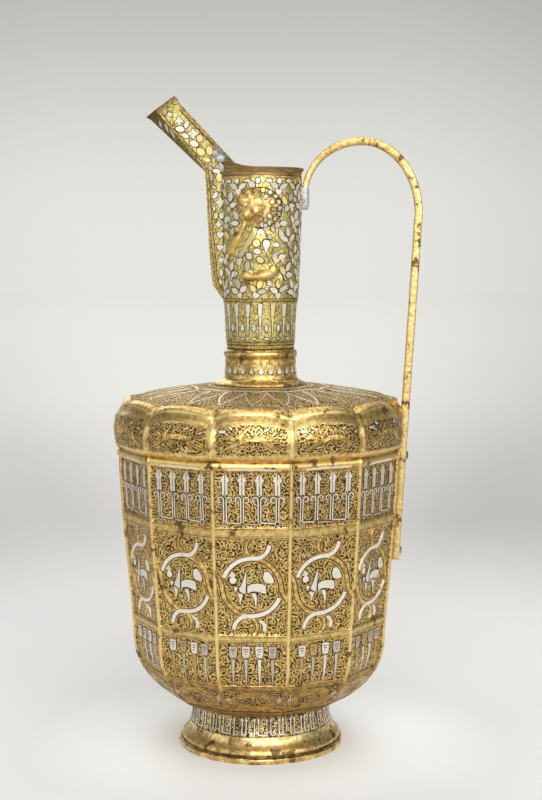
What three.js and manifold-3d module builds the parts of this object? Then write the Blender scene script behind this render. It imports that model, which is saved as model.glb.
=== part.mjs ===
// A twelve-sided ewer of sheet brass with silver inlay: pedestal foot, faceted body, lobed shoulder,
// tall neck with a lion in relief on each side, slanted spout and a long strap handle.
// Millimetres, +Z up. The spout points along -X and the handle stands at +X.

import * as THREE from "three";
import { mergeVertices } from "three/addons/utils/BufferGeometryUtils.js";
import Module from "manifold-3d";

// Driving sizes of the whole vessel

const facets = 12; // sides of the body and lobes of the shoulder
const seam = 0.3; // solder gap between pieces that touch
const overrun = 2; // how far a cutter runs past what it cuts

// Foot and its rim ring

const ringRadius = 50.4;
const ringHeight = 3.7;
const ringThickness = 3.8;
const ringChamfer = 0.9;
const footHeight = 27; // floor to the underside of the body
const footFlareRadius = 50;
const footWaistRadius = 41.8;
const footWall = 1.5;
const footMouldRise = 1.1;
const footFlangeWidth = 6; // how far the top turns in under the body

// Body

const bodyHeight = 154.7;
const bodyRadius = 86.9; // to the crest of a rib, at the waist
const bodyWall = 1.3;
const underRadius = 47; // where the body leaves the foot
const bottomHoleRadius = 38;
const groundDepth = 0.7; // how far the inlaid panels lie below their frames
const beadRise = 0.5;
const beadWidth = 2.4;
const beadFlank = 0.6;
const mouldRise = 0.8;
const plateOverlap = 3; // how far the base plate reaches over the body's bottom

// Shoulder

const lobeHeight = 29;
const domeHeight = 11;
const archRise = 2.4; // how far the middle of a lobe's top edge stands above its ends
const skirtDepth = 6; // sleeve that fits inside the top of the body

// Collar and neck

const collarHeight = 21.2;
const collarRadius = 21.2;
const collarSpread = 6.8;
const collarWall = 1.1;
const collarBeadRise = 0.9;
const neckHeight = 108.5; // collar to rim
const neckStep = 0.5;
const neckTopRadius = 24.8;
const neckWall = 1.2;
const neckTail = 4; // how far the neck reaches below the collar
const rimLip = 1.5;
const rimLipHeight = 2.6;
const rimLipEdge = 0.65;
const rimRise = 3.6; // how far the rim climbs where it meets the spout

// Spout

const spoutReach = 67.4; // axis to the lower lip
const spoutLipHeight = 30.9; // rim to the lower lip
const spoutTipReach = 51.3; // axis to the upper lip
const spoutTipHeight = 42.2; // rim to the upper lip
const spoutWall = 1.2;
const spoutFlare = 0.8;
const channelDepth = 7; // how far the channel stands off the neck
const channelHalfWidth = 12.3;
const slotHalfWidth = 5;

// Handle

const strapWidth = 8;
const strapThickness = 4.9;
const strapEdge = 0.9;
const archHeight = 16.4; // rim to the middle of the strap at the top of its arch
const endThickness = 3.5;
const rivetRadius = 1.5;
const rivetHeadRadius = 2.6;
const rivetHeadHeight = 1;
const rivetTailHeight = 0.8;
const lugWall = 1.2;
const lugDrop = 10.5; // how far the lug reaches below the strap's end
const lugGrip = 4.5; // how far it reaches above it

// Silver ribbons

const ribbonWidth = 2.6;

// Steps that set how smooth the faceted surfaces are

const roundSteps = 36;
const lobeSteps = 5;
const arcSteps = 6;
const rivetSteps = 12;

// Shares of the body's height, at the edges of its bands

const hemShares = [0.149, 0.173];
const lowerBorderShares = [0.343, 0.371];
const upperBorderShares = [0.738, 0.763];
const mouldShare = 0.963;

// Shares of the body's radius at stations up its side

const heelHeightShare = 0.278;
const heelRadiusShare = 0.908;
const lowerBorderRadiusShare = 0.916;
const upperBorderRadiusShare = 0.978;
const waistHeightShare = 0.95;

// Levels of the stack, each piece resting on the one below

const bodyLevel = footHeight;
const shoulderLevel = bodyLevel + bodyHeight + seam;
const collarLevel = shoulderLevel + lobeHeight + domeHeight + seam;
const neckLevel = collarLevel + collarHeight;
const rimLevel = neckLevel + neckHeight;

const halfAngle = Math.PI / facets;
const spigotRadius = collarRadius - collarWall - seam;
const middleOf = (pair) => (pair[0] + pair[1]) / 2;
const degrees = THREE.MathUtils.degToRad;

// Materials

const finish = (color, roughness, metalness = 1) =>
  new THREE.MeshStandardMaterial({ color, roughness, metalness });
const chasedBrass = finish(0xb08a3c, 0.42);
const polishedBrass = finish(0xc99a45, 0.3);
const brownBrass = finish(0x8f6f3a, 0.5);
const silver = finish(0xd9d6cf, 0.35);
const solder = finish(0x9c9a94, 0.55);

// Solids

const wasm = await Module();
wasm.setup();

function toSolid(geometry) {
  const bare = geometry.clone();
  bare.deleteAttribute("normal");
  bare.deleteAttribute("uv");
  const merged = mergeVertices(bare);
  const mesh = new wasm.Mesh({
    numProp: 3,
    vertProperties: merged.attributes.position.array,
    triVerts: new Uint32Array(merged.index.array),
  });
  return new wasm.Manifold(mesh);
}

function toGeometry(solid) {
  const mesh = solid.getMesh();
  const geometry = new THREE.BufferGeometry();
  geometry.setAttribute("position", new THREE.BufferAttribute(mesh.vertProperties, 3));
  geometry.setIndex(new THREE.BufferAttribute(mesh.triVerts, 1));
  return geometry;
}

function cut(geometry, ...cutters) {
  const start = toSolid(geometry);
  return toGeometry(cutters.reduce((solid, cutter) => solid.subtract(toSolid(cutter)), start));
}

function join(geometry, ...others) {
  const start = toSolid(geometry);
  return toGeometry(others.reduce((solid, other) => solid.add(toSolid(other)), start));
}

// A skin over loops of equally many points, closed into a ring or capped at its first and last loop
function loft(loops, capped = false) {
  const count = loops[0].length;
  const points = loops.flat();
  const index = [];
  const rows = capped ? loops.length - 1 : loops.length;
  for (let row = 0; row < rows; row++) {
    const low = row * count;
    const high = ((row + 1) % loops.length) * count;
    for (let i = 0; i < count; i++) {
      const j = (i + 1) % count;
      index.push(low + i, low + j, high + j);
      index.push(low + i, high + j, high + i);
    }
  }
  if (capped) {
    const last = points.length - count;
    for (const loop of [loops[0], loops.at(-1)]) {
      const middle = new THREE.Vector3();
      loop.forEach((point) => middle.addScaledVector(point, 1 / count));
      points.push(middle);
    }
    for (let i = 0; i < count; i++) {
      const j = (i + 1) % count;
      index.push(points.length - 2, j, i);
      index.push(points.length - 1, last + i, last + j);
    }
  }
  const geometry = new THREE.BufferGeometry().setFromPoints(points);
  geometry.setIndex(index);
  return geometry;
}

// A level circle
function roundLoop(radius, height, steps = roundSteps) {
  const loop = [];
  for (let i = 0; i < steps; i++) {
    const angle = (i / steps) * 2 * Math.PI;
    loop.push(new THREE.Vector3(radius * Math.cos(angle), radius * Math.sin(angle), height));
  }
  return loop;
}

// A straight run between the stations of a table of [place, value]
function along(table, place) {
  const next = Math.max(1, table.findIndex(([at]) => at >= place));
  const [low, from] = table[next - 1];
  const [high, to] = table[next];
  return from + ((to - from) * (place - low)) / (high - low);
}

// Foot

// The rim ring is a thick hoop with a flat underside that the ewer stands on.
function rimRing() {
  const inner = ringRadius - ringThickness;
  return loft([
    roundLoop(inner + ringChamfer, 0),
    roundLoop(ringRadius - ringChamfer / 2, 0),
    roundLoop(ringRadius, ringChamfer),
    roundLoop(ringRadius, ringHeight - ringChamfer),
    roundLoop(ringRadius - ringChamfer, ringHeight),
    roundLoop(inner, ringHeight),
    roundLoop(inner, ringChamfer),
  ]);
}

// The foot is a flared sleeve, with a rounded moulding and a flange turned in under the body.
const footFlareShares = [
  [0, 1],
  [0.14, 0.78],
  [0.32, 0.36],
  [0.6, 0.12],
  [0.8, 0.02],
];
const footMouldShares = [
  [0.86, 0.2],
  [0.92, 1],
  [0.97, 0.8],
];

function foot() {
  const height = footHeight - seam - ringHeight - seam;
  const flare = footFlareRadius - footWaistRadius;
  const side = footFlareShares.map(([up, out]) => [footWaistRadius + flare * out, height * up]);
  const mould = footMouldShares.map(([up, out]) => [
    footWaistRadius + footMouldRise * out,
    height * up,
  ]);
  const lip = footWaistRadius - footFlangeWidth;
  const inside = footWaistRadius - footWall;
  const outer = [...side, ...mould, [footWaistRadius, height]];
  const inner = side.map(([radius, up]) => [radius - footWall, up]).reverse();
  const profile = [
    ...outer,
    [lip, height],
    [lip, height - footWall],
    [inside, height - footWall],
    ...inner,
  ];
  return loft(profile.map(([radius, up]) => roundLoop(radius, up)));
}

// Body

// Radius to the crest of a rib, at a height above the body's underside: an elliptical bowl below
// the heel, then straight stretches that widen to the waist.
function ribRadius(height) {
  const heelHeight = bodyHeight * heelHeightShare;
  const heelRadius = bodyRadius * heelRadiusShare;
  if (height < heelHeight) {
    const depth = heelHeight / Math.sqrt(1 - (underRadius / heelRadius) ** 2);
    return heelRadius * Math.sqrt(1 - ((heelHeight - height) / depth) ** 2);
  }
  const stations = [
    [heelHeight, heelRadius],
    [bodyHeight * middleOf(lowerBorderShares), bodyRadius * lowerBorderRadiusShare],
    [bodyHeight * middleOf(upperBorderShares), bodyRadius * upperBorderRadiusShare],
    [bodyHeight * waistHeightShare, bodyRadius],
    [bodyHeight + lobeHeight, bodyRadius],
  ];
  return along(stations, height);
}

// Distance from the axis to the middle of a facet
const planeOut = (height) => ribRadius(height) * Math.cos(halfAngle) - beadRise;

// Where the inner face of the strap stands, on the line through two borders that it rests on
function seatOut(level) {
  const low = bodyHeight * middleOf(upperBorderShares);
  const high = bodyHeight * waistHeightShare;
  const slope = (planeOut(high) - planeOut(low)) / (high - low);
  return planeOut(low) + seam + slope * (level - bodyLevel - low);
}

function spin(out, across, angle, height) {
  return new THREE.Vector3(
    out * Math.cos(angle) - across * Math.sin(angle),
    out * Math.sin(angle) + across * Math.cos(angle),
    height,
  );
}

// One loop round the body with four points to a facet: beside each rib, and at the foot of its bead.
// The facet under the handle stays behind the strap's seat.
function facetLoop(radius, height, inset, rise) {
  const plane = radius * Math.cos(halfAngle) - beadRise;
  const crest = radius * Math.sin(halfAngle) - beadWidth / 2;
  const edge = crest - beadFlank;
  const loop = [];
  for (let facet = 0; facet < facets; facet++) {
    const limit = facet === 0 ? seatOut(bodyLevel + height) - seam : Infinity;
    const ground = Math.min(plane - inset, limit);
    const angle = facet * 2 * halfAngle;
    loop.push(spin(plane + rise, -crest, angle, height));
    loop.push(spin(ground, -edge, angle, height));
    loop.push(spin(ground, edge, angle, height));
    loop.push(spin(plane + rise, crest, angle, height));
  }
  return loop;
}

const bowlShares = [0.04, 0.075, 0.11];
const bowlUpperShares = [0.22, 0.28];
const innerShares = [0.02, 0.05, 0.09, 0.14, 0.2, 0.278, 0.357, 0.75, 0.95];

function bodyShell() {
  const framed = (height, rise = beadRise) => facetLoop(ribRadius(height), height, 0, rise);
  const sunk = (height) => facetLoop(ribRadius(height), height, groundDepth, beadRise);
  const border = ([low, high]) => [
    sunk(bodyHeight * low - beadFlank),
    framed(bodyHeight * low),
    framed(bodyHeight * high),
    sunk(bodyHeight * high + beadFlank),
  ];
  const mouldFoot = bodyHeight * mouldShare;
  const mouldMiddle = (mouldFoot + bodyHeight) / 2;
  const outer = [
    facetLoop(bottomHoleRadius, 0, 0, 0),
    facetLoop(underRadius, 0, 0, 0),
    ...bowlShares.map((share) => framed(bodyHeight * share)),
    framed(bodyHeight * hemShares[0]),
    framed(bodyHeight * hemShares[1]),
    sunk(bodyHeight * hemShares[1] + beadFlank),
    ...bowlUpperShares.map((share) => sunk(bodyHeight * share)),
    ...border(lowerBorderShares),
    ...border(upperBorderShares),
    sunk(mouldFoot - beadFlank),
    framed(mouldFoot),
    facetLoop(ribRadius(mouldMiddle), mouldMiddle, -mouldRise, mouldRise),
    framed(bodyHeight, 0),
  ];
  const lining = (radius, height) => facetLoop(radius - bodyWall, height, 0, 0);
  const inner = [
    lining(ribRadius(bodyHeight), bodyHeight),
    ...innerShares.map((share) => lining(ribRadius(bodyHeight * share), bodyHeight * share)).reverse(),
    facetLoop(underRadius - bodyWall, bodyWall, 0, 0),
    facetLoop(bottomHoleRadius, bodyWall, 0, 0),
  ];
  const holes = [rivetHole(waistRivetLevel - bodyLevel), rivetHole(tailRivetLevel - bodyLevel)];
  return cut(loft([...outer, ...inner]), ...holes);
}

// The base plate is a disc that closes the body from inside, soldered down round the hole.
function basePlate() {
  const radius = bottomHoleRadius + plateOverlap;
  return loft([roundLoop(radius, 0), roundLoop(radius, bodyWall)], true);
}

// Shoulder

// How square the swell of a lobe is in plan: 1 is a cosine, and less is fuller
const lobeFullness = 0.7;

// One loop round the shoulder: a rib at each corner and a rounded lobe between.
function lobeLoop(ribOut, middleOut, height, arch, seated = true) {
  const loop = [];
  const chord = ribOut * Math.cos(halfAngle);
  for (let lobe = 0; lobe < facets; lobe++) {
    for (let step = 0; step < lobeSteps; step++) {
      const across = (step / lobeSteps) * 2 - 1;
      const swell = Math.cos((across * Math.PI) / 2) ** lobeFullness;
      const level = height + arch * swell;
      const side = ribOut * Math.sin(halfAngle) * across;
      let out = chord + (middleOut - chord) * swell;
      if (seated && lobe === 0) {
        out = Math.min(out, seatOut(shoulderLevel + level) - seam);
      }
      loop.push(spin(out, side, lobe * 2 * halfAngle, level));
    }
  }
  return loop;
}

// Shares of the lobe's height, of the body's radius at a rib and at a lobe's middle, and of the arch
const lobeShares = [
  [0.05, 1, 0.993, 0],
  [0.24, 1.014, 1.019, 0],
  [0.49, 1.021, 1.0357, 0.2],
  [0.73, 1.008, 1.019, 0.5],
  [0.88, 0.985, 0.993, 0.8],
  [0.97, 0.958, 0.962, 1],
  [1.03, 0.93, 0.93, 1],
];
const lobeRootShares = [0.988, 0.972];

// Shares of the dome's height and of the body's radius
const domeShares = [
  [0.35, 0.869],
  [0.66, 0.706],
  [0.9, 0.46],
];

function shoulderShell() {
  const skirt = bodyRadius - bodyWall * 2 - seam;
  const holeRadius = spigotRadius + seam;
  const top = lobeHeight + domeHeight;
  const round = (radius, height) => lobeLoop(radius, radius, height, 0, false);
  const polygon = (radius, height) =>
    lobeLoop(radius, radius * Math.cos(halfAngle), height, 0, false);
  const lobes = lobeShares.map(([up, rib, middle, arch]) =>
    lobeLoop(bodyRadius * rib, bodyRadius * middle, lobeHeight * up, archRise * arch));
  const dome = domeShares.map(([up, out]) => round(bodyRadius * out, lobeHeight + domeHeight * up));
  const insideLobes = lobeShares.map(([up, rib, middle, arch]) =>
    lobeLoop(
      bodyRadius * rib - bodyWall,
      bodyRadius * middle - bodyWall,
      lobeHeight * up - bodyWall * up,
      archRise * arch,
    ));
  const insideDome = domeShares.map(([up, out]) =>
    round(bodyRadius * out, lobeHeight + domeHeight * up - bodyWall));
  const [rootRib, rootMiddle] = lobeRootShares;
  const shell = loft([
    polygon(skirt, -skirtDepth),
    polygon(skirt, 0),
    lobeLoop(bodyRadius * rootRib, bodyRadius * rootMiddle, 0, 0),
    ...lobes,
    ...dome,
    round(collarRadius + collarSpread, top),
    round(holeRadius, top),
    round(holeRadius, top - bodyWall),
    ...insideDome.reverse(),
    ...insideLobes.reverse(),
    polygon(skirt - bodyWall, 0),
    polygon(skirt - bodyWall, -skirtDepth),
  ]);
  return cut(shell, rivetHole(waistRivetLevel - shoulderLevel));
}

// Collar

// Shares of the collar's height, of its spread at the base, and of its top bead
const collarShares = [
  [0, 1, 0],
  [0.06, 0.8, 0],
  [0.14, 0.3, 0],
  [0.35, 0.09, 0],
  [0.72, 0, 0],
  [0.8, 0, 0.8],
  [0.88, 0, 1],
  [0.96, 0, 0.5],
  [1, 0, 0],
];

function collar() {
  const outer = collarShares.map(([up, spread, bead]) =>
    roundLoop(collarRadius + collarSpread * spread + collarBeadRise * bead, collarHeight * up));
  const bore = collarRadius - collarWall;
  return loft([...outer, roundLoop(bore, collarHeight), roundLoop(bore, 0)]);
}

// Neck

// Shares of the neck's height, and of the step from its foot radius to its top radius
const neckShares = [
  [0, 0],
  [0.097, 0.2],
  [0.226, 0.36],
  [0.318, 0.58],
  [0.493, 0.82],
  [0.797, 1],
  [1, 1],
];
const neckFootRadius = spigotRadius + neckStep;

function neckRadius(height) {
  const share = along(neckShares, Math.min(height / neckHeight, 1));
  return neckFootRadius + (neckTopRadius - neckFootRadius) * share;
}

// How soon the rim reaches its full rise, going round to the spout
const rimSteepness = 2.4;

// A loop round the neck, lifted towards the spout by a share of the rim's rise
function neckLoop(radius, height, lift = 0) {
  return roundLoop(radius, height).map((point) => {
    const toSpout = Math.max(0, -point.x / radius);
    point.z += rimRise * lift * Math.min(1, rimSteepness * toSpout ** 2);
    return point;
  });
}

const lipLiftShare = 0.8; // how much of the rim's rise the foot of its lip follows

// The neck's outside, from the collar up, grown by a clearance
function neckOutside(grow) {
  const wallLoops = neckShares.slice(0, -1).map(([up]) =>
    neckLoop(neckRadius(neckHeight * up) + grow, neckHeight * up));
  return loft(
    [
      ...wallLoops,
      neckLoop(neckTopRadius + grow, neckHeight - rimLipHeight - grow, lipLiftShare),
      neckLoop(neckTopRadius + rimLip + grow, neckHeight - rimLipEdge, 1),
      neckLoop(neckTopRadius + rimLip + grow, neckHeight + grow, 1),
    ],
    true,
  );
}

function neckBore() {
  const floor = -(collarHeight + neckTail);
  return loft(
    [
      neckLoop(spigotRadius - neckWall, floor - overrun),
      neckLoop(spigotRadius - neckWall, 0),
      ...neckShares.slice(1, -1).map(([up]) =>
        neckLoop(neckRadius(neckHeight * up) - neckWall, neckHeight * up)),
      neckLoop(neckTopRadius - neckWall, neckHeight + rimRise + overrun),
    ],
    true,
  );
}

// One lion in relief: places round the neck, counted in degrees towards the handle, and up it, and
// half sizes as shares of the neck's top radius, with a tilt in degrees
const lionShares = [
  { part: "mane", turn: -2, up: 0.788, wide: 0.54, high: 0.46, proud: 0.15, tilt: 0 },
  { part: "face", turn: -15, up: 0.765, wide: 0.27, high: 0.31, proud: 0.26, tilt: 0 },
  { part: "chest", turn: -31, up: 0.61, wide: 0.15, high: 0.44, proud: 0.17, tilt: -32 },
  { part: "haunch", turn: 18, up: 0.52, wide: 0.32, high: 0.36, proud: 0.1, tilt: 0 },
  { part: "paw", turn: -2, up: 0.42, wide: 0.4, high: 0.13, proud: 0.17, tilt: 4 },
];
const lumpColumns = 10;
const lumpRows = 6;

// The lumps of the lion on one side of the neck: -1 looks along -Y, and 1 is its mirror image.
function lionLumps(side) {
  return lionShares.map(({ turn, up, wide, high, proud, tilt }) => {
    const lump = new THREE.SphereGeometry(1, lumpColumns, lumpRows);
    lump.scale(neckTopRadius * wide, neckTopRadius * proud, neckTopRadius * high);
    lump.rotateY(degrees(tilt));
    lump.translate(0, side * neckRadius(neckHeight * up), neckHeight * up);
    lump.rotateZ(degrees(-side * turn));
    return lump;
  });
}

// Slot shares of the neck's height, where the neck opens into the spout's channel
const slotShares = [0.38, 0.9];

function neck() {
  const floor = -(collarHeight + neckTail);
  const spigot = loft([neckLoop(spigotRadius, floor), neckLoop(spigotRadius, overrun)], true);
  const [low, high] = slotShares.map((share) => share * neckHeight);
  const slot = new THREE.BoxGeometry(neckTopRadius, 2 * slotHalfWidth, high - low);
  slot.translate(-neckTopRadius, 0, (low + high) / 2);
  const solid = join(neckOutside(0), spigot, ...lionLumps(-1), ...lionLumps(1));
  return cut(solid, neckBore(), slot);
}

// Spout

// Stations up the channel: shares of the neck's height at the outer and inner edge, of the channel's
// depth, and of its half width at the neck, at the side and at the outer edge
const channelShares = [
  [0.285, 0.275, 0.1, 0.5, 0.4, 0.3],
  [0.364, 0.345, 0.78, 0.85, 0.75, 0.6],
  [0.548, 0.53, 0.9, 1, 0.82, 0.64],
  [0.825, 0.81, 1, 1, 0.82, 0.64],
];
const bendShares = { outer: 0.983, depth: 1.15, inner: 0.64 };
const bendWidthShares = [0.92, 0.8, 0.72];
const mouthWidthShares = [0.84, 0.74, 0.5];
const chamferShare = 0.7; // where the lower bevel starts, down the spout's side

// A six-sided section between an inner and an outer point, with half widths at the inner edge, at the
// start of the bevel and at the outer edge
function spoutLoop(inner, outer, widths, wall) {
  const down = outer.clone().sub(inner).normalize();
  const top = inner.clone().addScaledVector(down, wall);
  const low = outer.clone().addScaledVector(down, -wall);
  const middle = top.clone().lerp(low, chamferShare);
  const [topWide, middleWide, lowWide] = widths.map((width) => width - wall);
  const at = (point, across) => point.clone().add(new THREE.Vector3(0, across, 0));
  return [
    at(top, topWide),
    at(middle, middleWide),
    at(low, lowWide),
    at(low, -lowWide),
    at(middle, -middleWide),
    at(top, -topWide),
  ];
}

function spoutLoops(wall) {
  const point = (out, height) => new THREE.Vector3(-out, 0, height);
  const inside = neckTopRadius - neckWall - channelDepth;
  const widths = (shares) => shares.map((share) => share * channelHalfWidth);
  const loops = channelShares.map(([outerUp, innerUp, out, ...wide]) => {
    const edge = neckRadius(neckHeight * outerUp) + channelDepth * out;
    const outer = point(edge, neckHeight * outerUp);
    return spoutLoop(point(inside, neckHeight * innerUp), outer, widths(wide), wall);
  });
  const bendOut = neckTopRadius + channelDepth * bendShares.depth;
  const bendOuter = point(bendOut, neckHeight * bendShares.outer);
  const bendInner = point(neckTopRadius * bendShares.inner, neckHeight + rimRise + 2 * seam);
  const mouthOuter = point(spoutReach, neckHeight + spoutLipHeight);
  const mouthInner = point(spoutTipReach, neckHeight + spoutTipHeight);
  const travel = mouthOuter.clone().sub(bendOuter).normalize();
  loops.push(spoutLoop(bendInner, bendOuter, widths(bendWidthShares), wall));
  if (wall > 0) {
    const past = (p) => p.clone().addScaledVector(travel, overrun);
    loops.push(spoutLoop(past(mouthInner), past(mouthOuter), widths(mouthWidthShares), wall));
    return loops.slice(1);
  }
  const before = (p) => p.clone().addScaledVector(travel, -spoutWall);
  loops.push(spoutLoop(before(mouthInner), before(mouthOuter), widths(mouthWidthShares), 0));
  loops.push(spoutLoop(mouthInner, mouthOuter, widths(mouthWidthShares), -spoutFlare));
  return loops;
}

function spout() {
  return cut(loft(spoutLoops(0), true), loft(spoutLoops(spoutWall), true), neckOutside(seam));
}

// Handle

// Shares of the neck's height where the arch springs from the straight strap, and where it ends
const springShare = 0.751;
const endShare = 0.857;
const strapFootShare = 0.569; // of the body's height
const archSteps = 9;
const straightSteps = 3;

const strapFootLevel = bodyLevel + bodyHeight * strapFootShare;
const waistRivetLevel = shoulderLevel - skirtDepth / 2;
const tailRivetLevel = strapFootLevel + 2 * rivetHeadRadius;

// Middle line of the strap: straight up from the body, over an arch of two quarter ellipses, and
// down to the neck. Each station is [out, level, thickness].
function strapStations() {
  const springLevel = neckLevel + neckHeight * springShare;
  const endLevel = neckLevel + neckHeight * endShare;
  const archLevel = rimLevel + archHeight;
  const springOut = seatOut(springLevel) + strapThickness / 2;
  const endOut = neckRadius(neckHeight * endShare) + seam + endThickness / 2;
  const middle = (springOut + endOut) / 2;
  const span = (springOut - endOut) / 2;
  const stations = [];
  for (let i = 0; i < straightSteps; i++) {
    const level = strapFootLevel + ((springLevel - strapFootLevel) * i) / straightSteps;
    stations.push([seatOut(level) + strapThickness / 2, level, strapThickness]);
  }
  for (let i = 0; i <= archSteps; i++) {
    const angle = ((i / archSteps) * Math.PI) / 2;
    const up = (archLevel - springLevel) * Math.sin(angle);
    stations.push([middle + span * Math.cos(angle), springLevel + up, strapThickness]);
  }
  for (let i = 1; i <= archSteps; i++) {
    const angle = (1 - i / archSteps) * (Math.PI / 2);
    const up = (archLevel - endLevel) * Math.sin(angle);
    const thin = strapThickness + ((endThickness - strapThickness) * i) / archSteps;
    stations.push([middle - span * Math.cos(angle), endLevel + up, thin]);
  }
  return stations;
}

// The strap, a flat bar with bevelled edges, grown by a clearance where it serves as a cutter
function strapBar(grow) {
  const stations = strapStations();
  const place = ([out, level]) => new THREE.Vector3(out, 0, level);
  const loops = stations.map((station, i) => {
    const back = place(stations[Math.max(0, i - 1)]);
    const ahead = place(stations[Math.min(stations.length - 1, i + 1)]);
    const travel = ahead.sub(back).normalize();
    const across = new THREE.Vector3(0, 1, 0);
    const outward = across.clone().cross(travel);
    const half = station[2] / 2 + grow;
    const wide = strapWidth / 2 + grow;
    const end = i === stations.length - 1 ? grow : 0;
    const corner = (out, side) =>
      place(station)
        .addScaledVector(outward, out)
        .addScaledVector(across, side)
        .addScaledVector(travel, end);
    return [
      corner(half, -(wide - strapEdge)),
      corner(half, wide - strapEdge),
      corner(half - strapEdge, wide),
      corner(-(half - strapEdge), wide),
      corner(-half, wide - strapEdge),
      corner(-half, -(wide - strapEdge)),
      corner(-(half - strapEdge), -wide),
      corner(half - strapEdge, -wide),
    ];
  });
  return loft(loops, true);
}

// A hole along X for a rivet, in a piece whose own floor is the level that the height counts from
function rivetHole(height) {
  const reach = bodyRadius + 2 * strapThickness;
  const radius = rivetRadius + seam;
  const hole = loft([
    roundLoop(radius, bodyRadius / 2, rivetSteps),
    roundLoop(radius, reach, rivetSteps),
  ], true);
  hole.rotateY(Math.PI / 2);
  hole.translate(0, 0, height);
  return hole;
}

function handleStrap() {
  return cut(strapBar(0), rivetHole(waistRivetLevel), rivetHole(tailRivetLevel));
}

// Shares of the rivet head's radius and height, over its dome
const rivetDomeShares = [
  [1, 0],
  [0.8, 0.7],
  [0.3, 1],
];

// A rivet along X: a domed head on the strap, a shank, and a flat peened tail inside the wall
function rivet(level, inside) {
  const face = seatOut(level) + strapThickness + seam;
  const tail = inside - seam;
  const pin = loft(
    [
      roundLoop(rivetHeadRadius, tail - rivetTailHeight, rivetSteps),
      roundLoop(rivetHeadRadius, tail, rivetSteps),
      roundLoop(rivetRadius, tail, rivetSteps),
      roundLoop(rivetRadius, face, rivetSteps),
      ...rivetDomeShares.map(([out, up]) =>
        roundLoop(rivetHeadRadius * out, face + rivetHeadHeight * up, rivetSteps)),
    ],
    true,
  );
  pin.rotateY(Math.PI / 2);
  pin.translate(0, 0, level);
  return pin;
}

// The innermost sheet at a rivet: the shoulder's skirt at the waist, the body's wall lower down
function waistRivet() {
  const skirt = (bodyRadius - 3 * bodyWall - seam) * Math.cos(halfAngle);
  return rivet(waistRivetLevel, skirt);
}

function tailRivet() {
  const radius = ribRadius(tailRivetLevel - bodyLevel) - bodyWall;
  return rivet(tailRivetLevel, radius * Math.cos(halfAngle) - beadRise);
}

// Shares of the lug's reach and drop where its lower corner is sloped off
const lugSlopeShares = [0.6, 0.35];

// The lug is a lump of solder, moulded round the strap's upper end and against the neck. Its slot is
// open towards the neck.
function handleLug() {
  const endLevel = neckLevel + neckHeight * endShare;
  const endOut = neckRadius(neckHeight * endShare) + seam + endThickness / 2;
  const face = endOut + endThickness / 2 + 2 * seam + lugWall;
  const back = neckTopRadius - neckWall;
  const foot = endLevel - lugDrop;
  const top = endLevel + lugGrip;
  const [slopeOut, slopeUp] = lugSlopeShares;
  const outline = new THREE.Shape([
    new THREE.Vector2(back, foot),
    new THREE.Vector2(back + (face - back) * slopeOut, foot),
    new THREE.Vector2(face, foot + lugDrop * slopeUp),
    new THREE.Vector2(face, top),
    new THREE.Vector2(back, top),
  ]);
  const width = strapWidth + 2 * seam + 2 * lugWall;
  const block = new THREE.ExtrudeGeometry(outline, { depth: width, bevelEnabled: false });
  block.translate(0, 0, -width / 2);
  block.rotateX(Math.PI / 2);
  const envelope = neckOutside(seam);
  envelope.translate(0, 0, neckLevel);
  const slotHeight = top - endLevel + seam + overrun;
  const slot = new THREE.BoxGeometry(endOut, strapWidth + 2 * seam, slotHeight);
  slot.translate(endOut / 2, 0, endLevel - seam + slotHeight / 2);
  return cut(block, envelope, slot, strapBar(seam));
}

// Silver ribbons

// Each facet's middle panel carries a ring with a small loop above and one below. A ribbon follows
// the ring and swings out round half a loop. Angles are in degrees, from the panel's right.
const ringPanelShare = 0.593; // ring radius against the panel's half height
const ringFacetShare = 0.79; // ring radius against the facet's half width
const loopShare = 0.363; // loop radius against the ring's
const ribbons = [
  { name: "upper", ringFrom: 160, ringTo: 83, loopTo: 380 },
  { name: "lower", ringFrom: -27, ringTo: -88, loopTo: 210 },
];

const panelLow = bodyHeight * lowerBorderShares[1];
const panelHigh = bodyHeight * upperBorderShares[0];
const panelMiddle = (panelLow + panelHigh) / 2;

function ribbonGeometry({ ringFrom, ringTo, loopTo }) {
  const halfWidth = ribRadius(panelMiddle) * Math.sin(halfAngle);
  const ring = Math.min(ringPanelShare * (panelHigh - panelLow) / 2, ringFacetShare * halfWidth);
  const loop = ring * loopShare;
  const half = ribbonWidth / 2;
  const turn = degrees(ringTo);
  const centre = new THREE.Vector2(Math.cos(turn), Math.sin(turn)).multiplyScalar(ring + loop);
  const polar = (radius, angle, origin) =>
    new THREE.Vector2(Math.cos(angle), Math.sin(angle)).multiplyScalar(radius).add(origin);
  const left = [];
  const right = [];
  for (let i = 0; i < arcSteps; i++) {
    const angle = degrees(ringFrom + ((ringTo - ringFrom) * i) / arcSteps);
    left.push(polar(ring + half, angle, new THREE.Vector2()));
    right.push(polar(ring - half, angle, new THREE.Vector2()));
  }
  const loopFrom = ringTo + 180;
  for (let i = 0; i <= arcSteps; i++) {
    const angle = degrees(loopFrom + ((loopTo - loopFrom) * i) / arcSteps);
    left.push(polar(loop - half, angle, centre));
    right.push(polar(loop + half, angle, centre));
  }
  const outline = new THREE.Shape([...left, ...right.reverse()]);
  return new THREE.ExtrudeGeometry(outline, { depth: groundDepth - seam, bevelEnabled: false });
}

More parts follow.
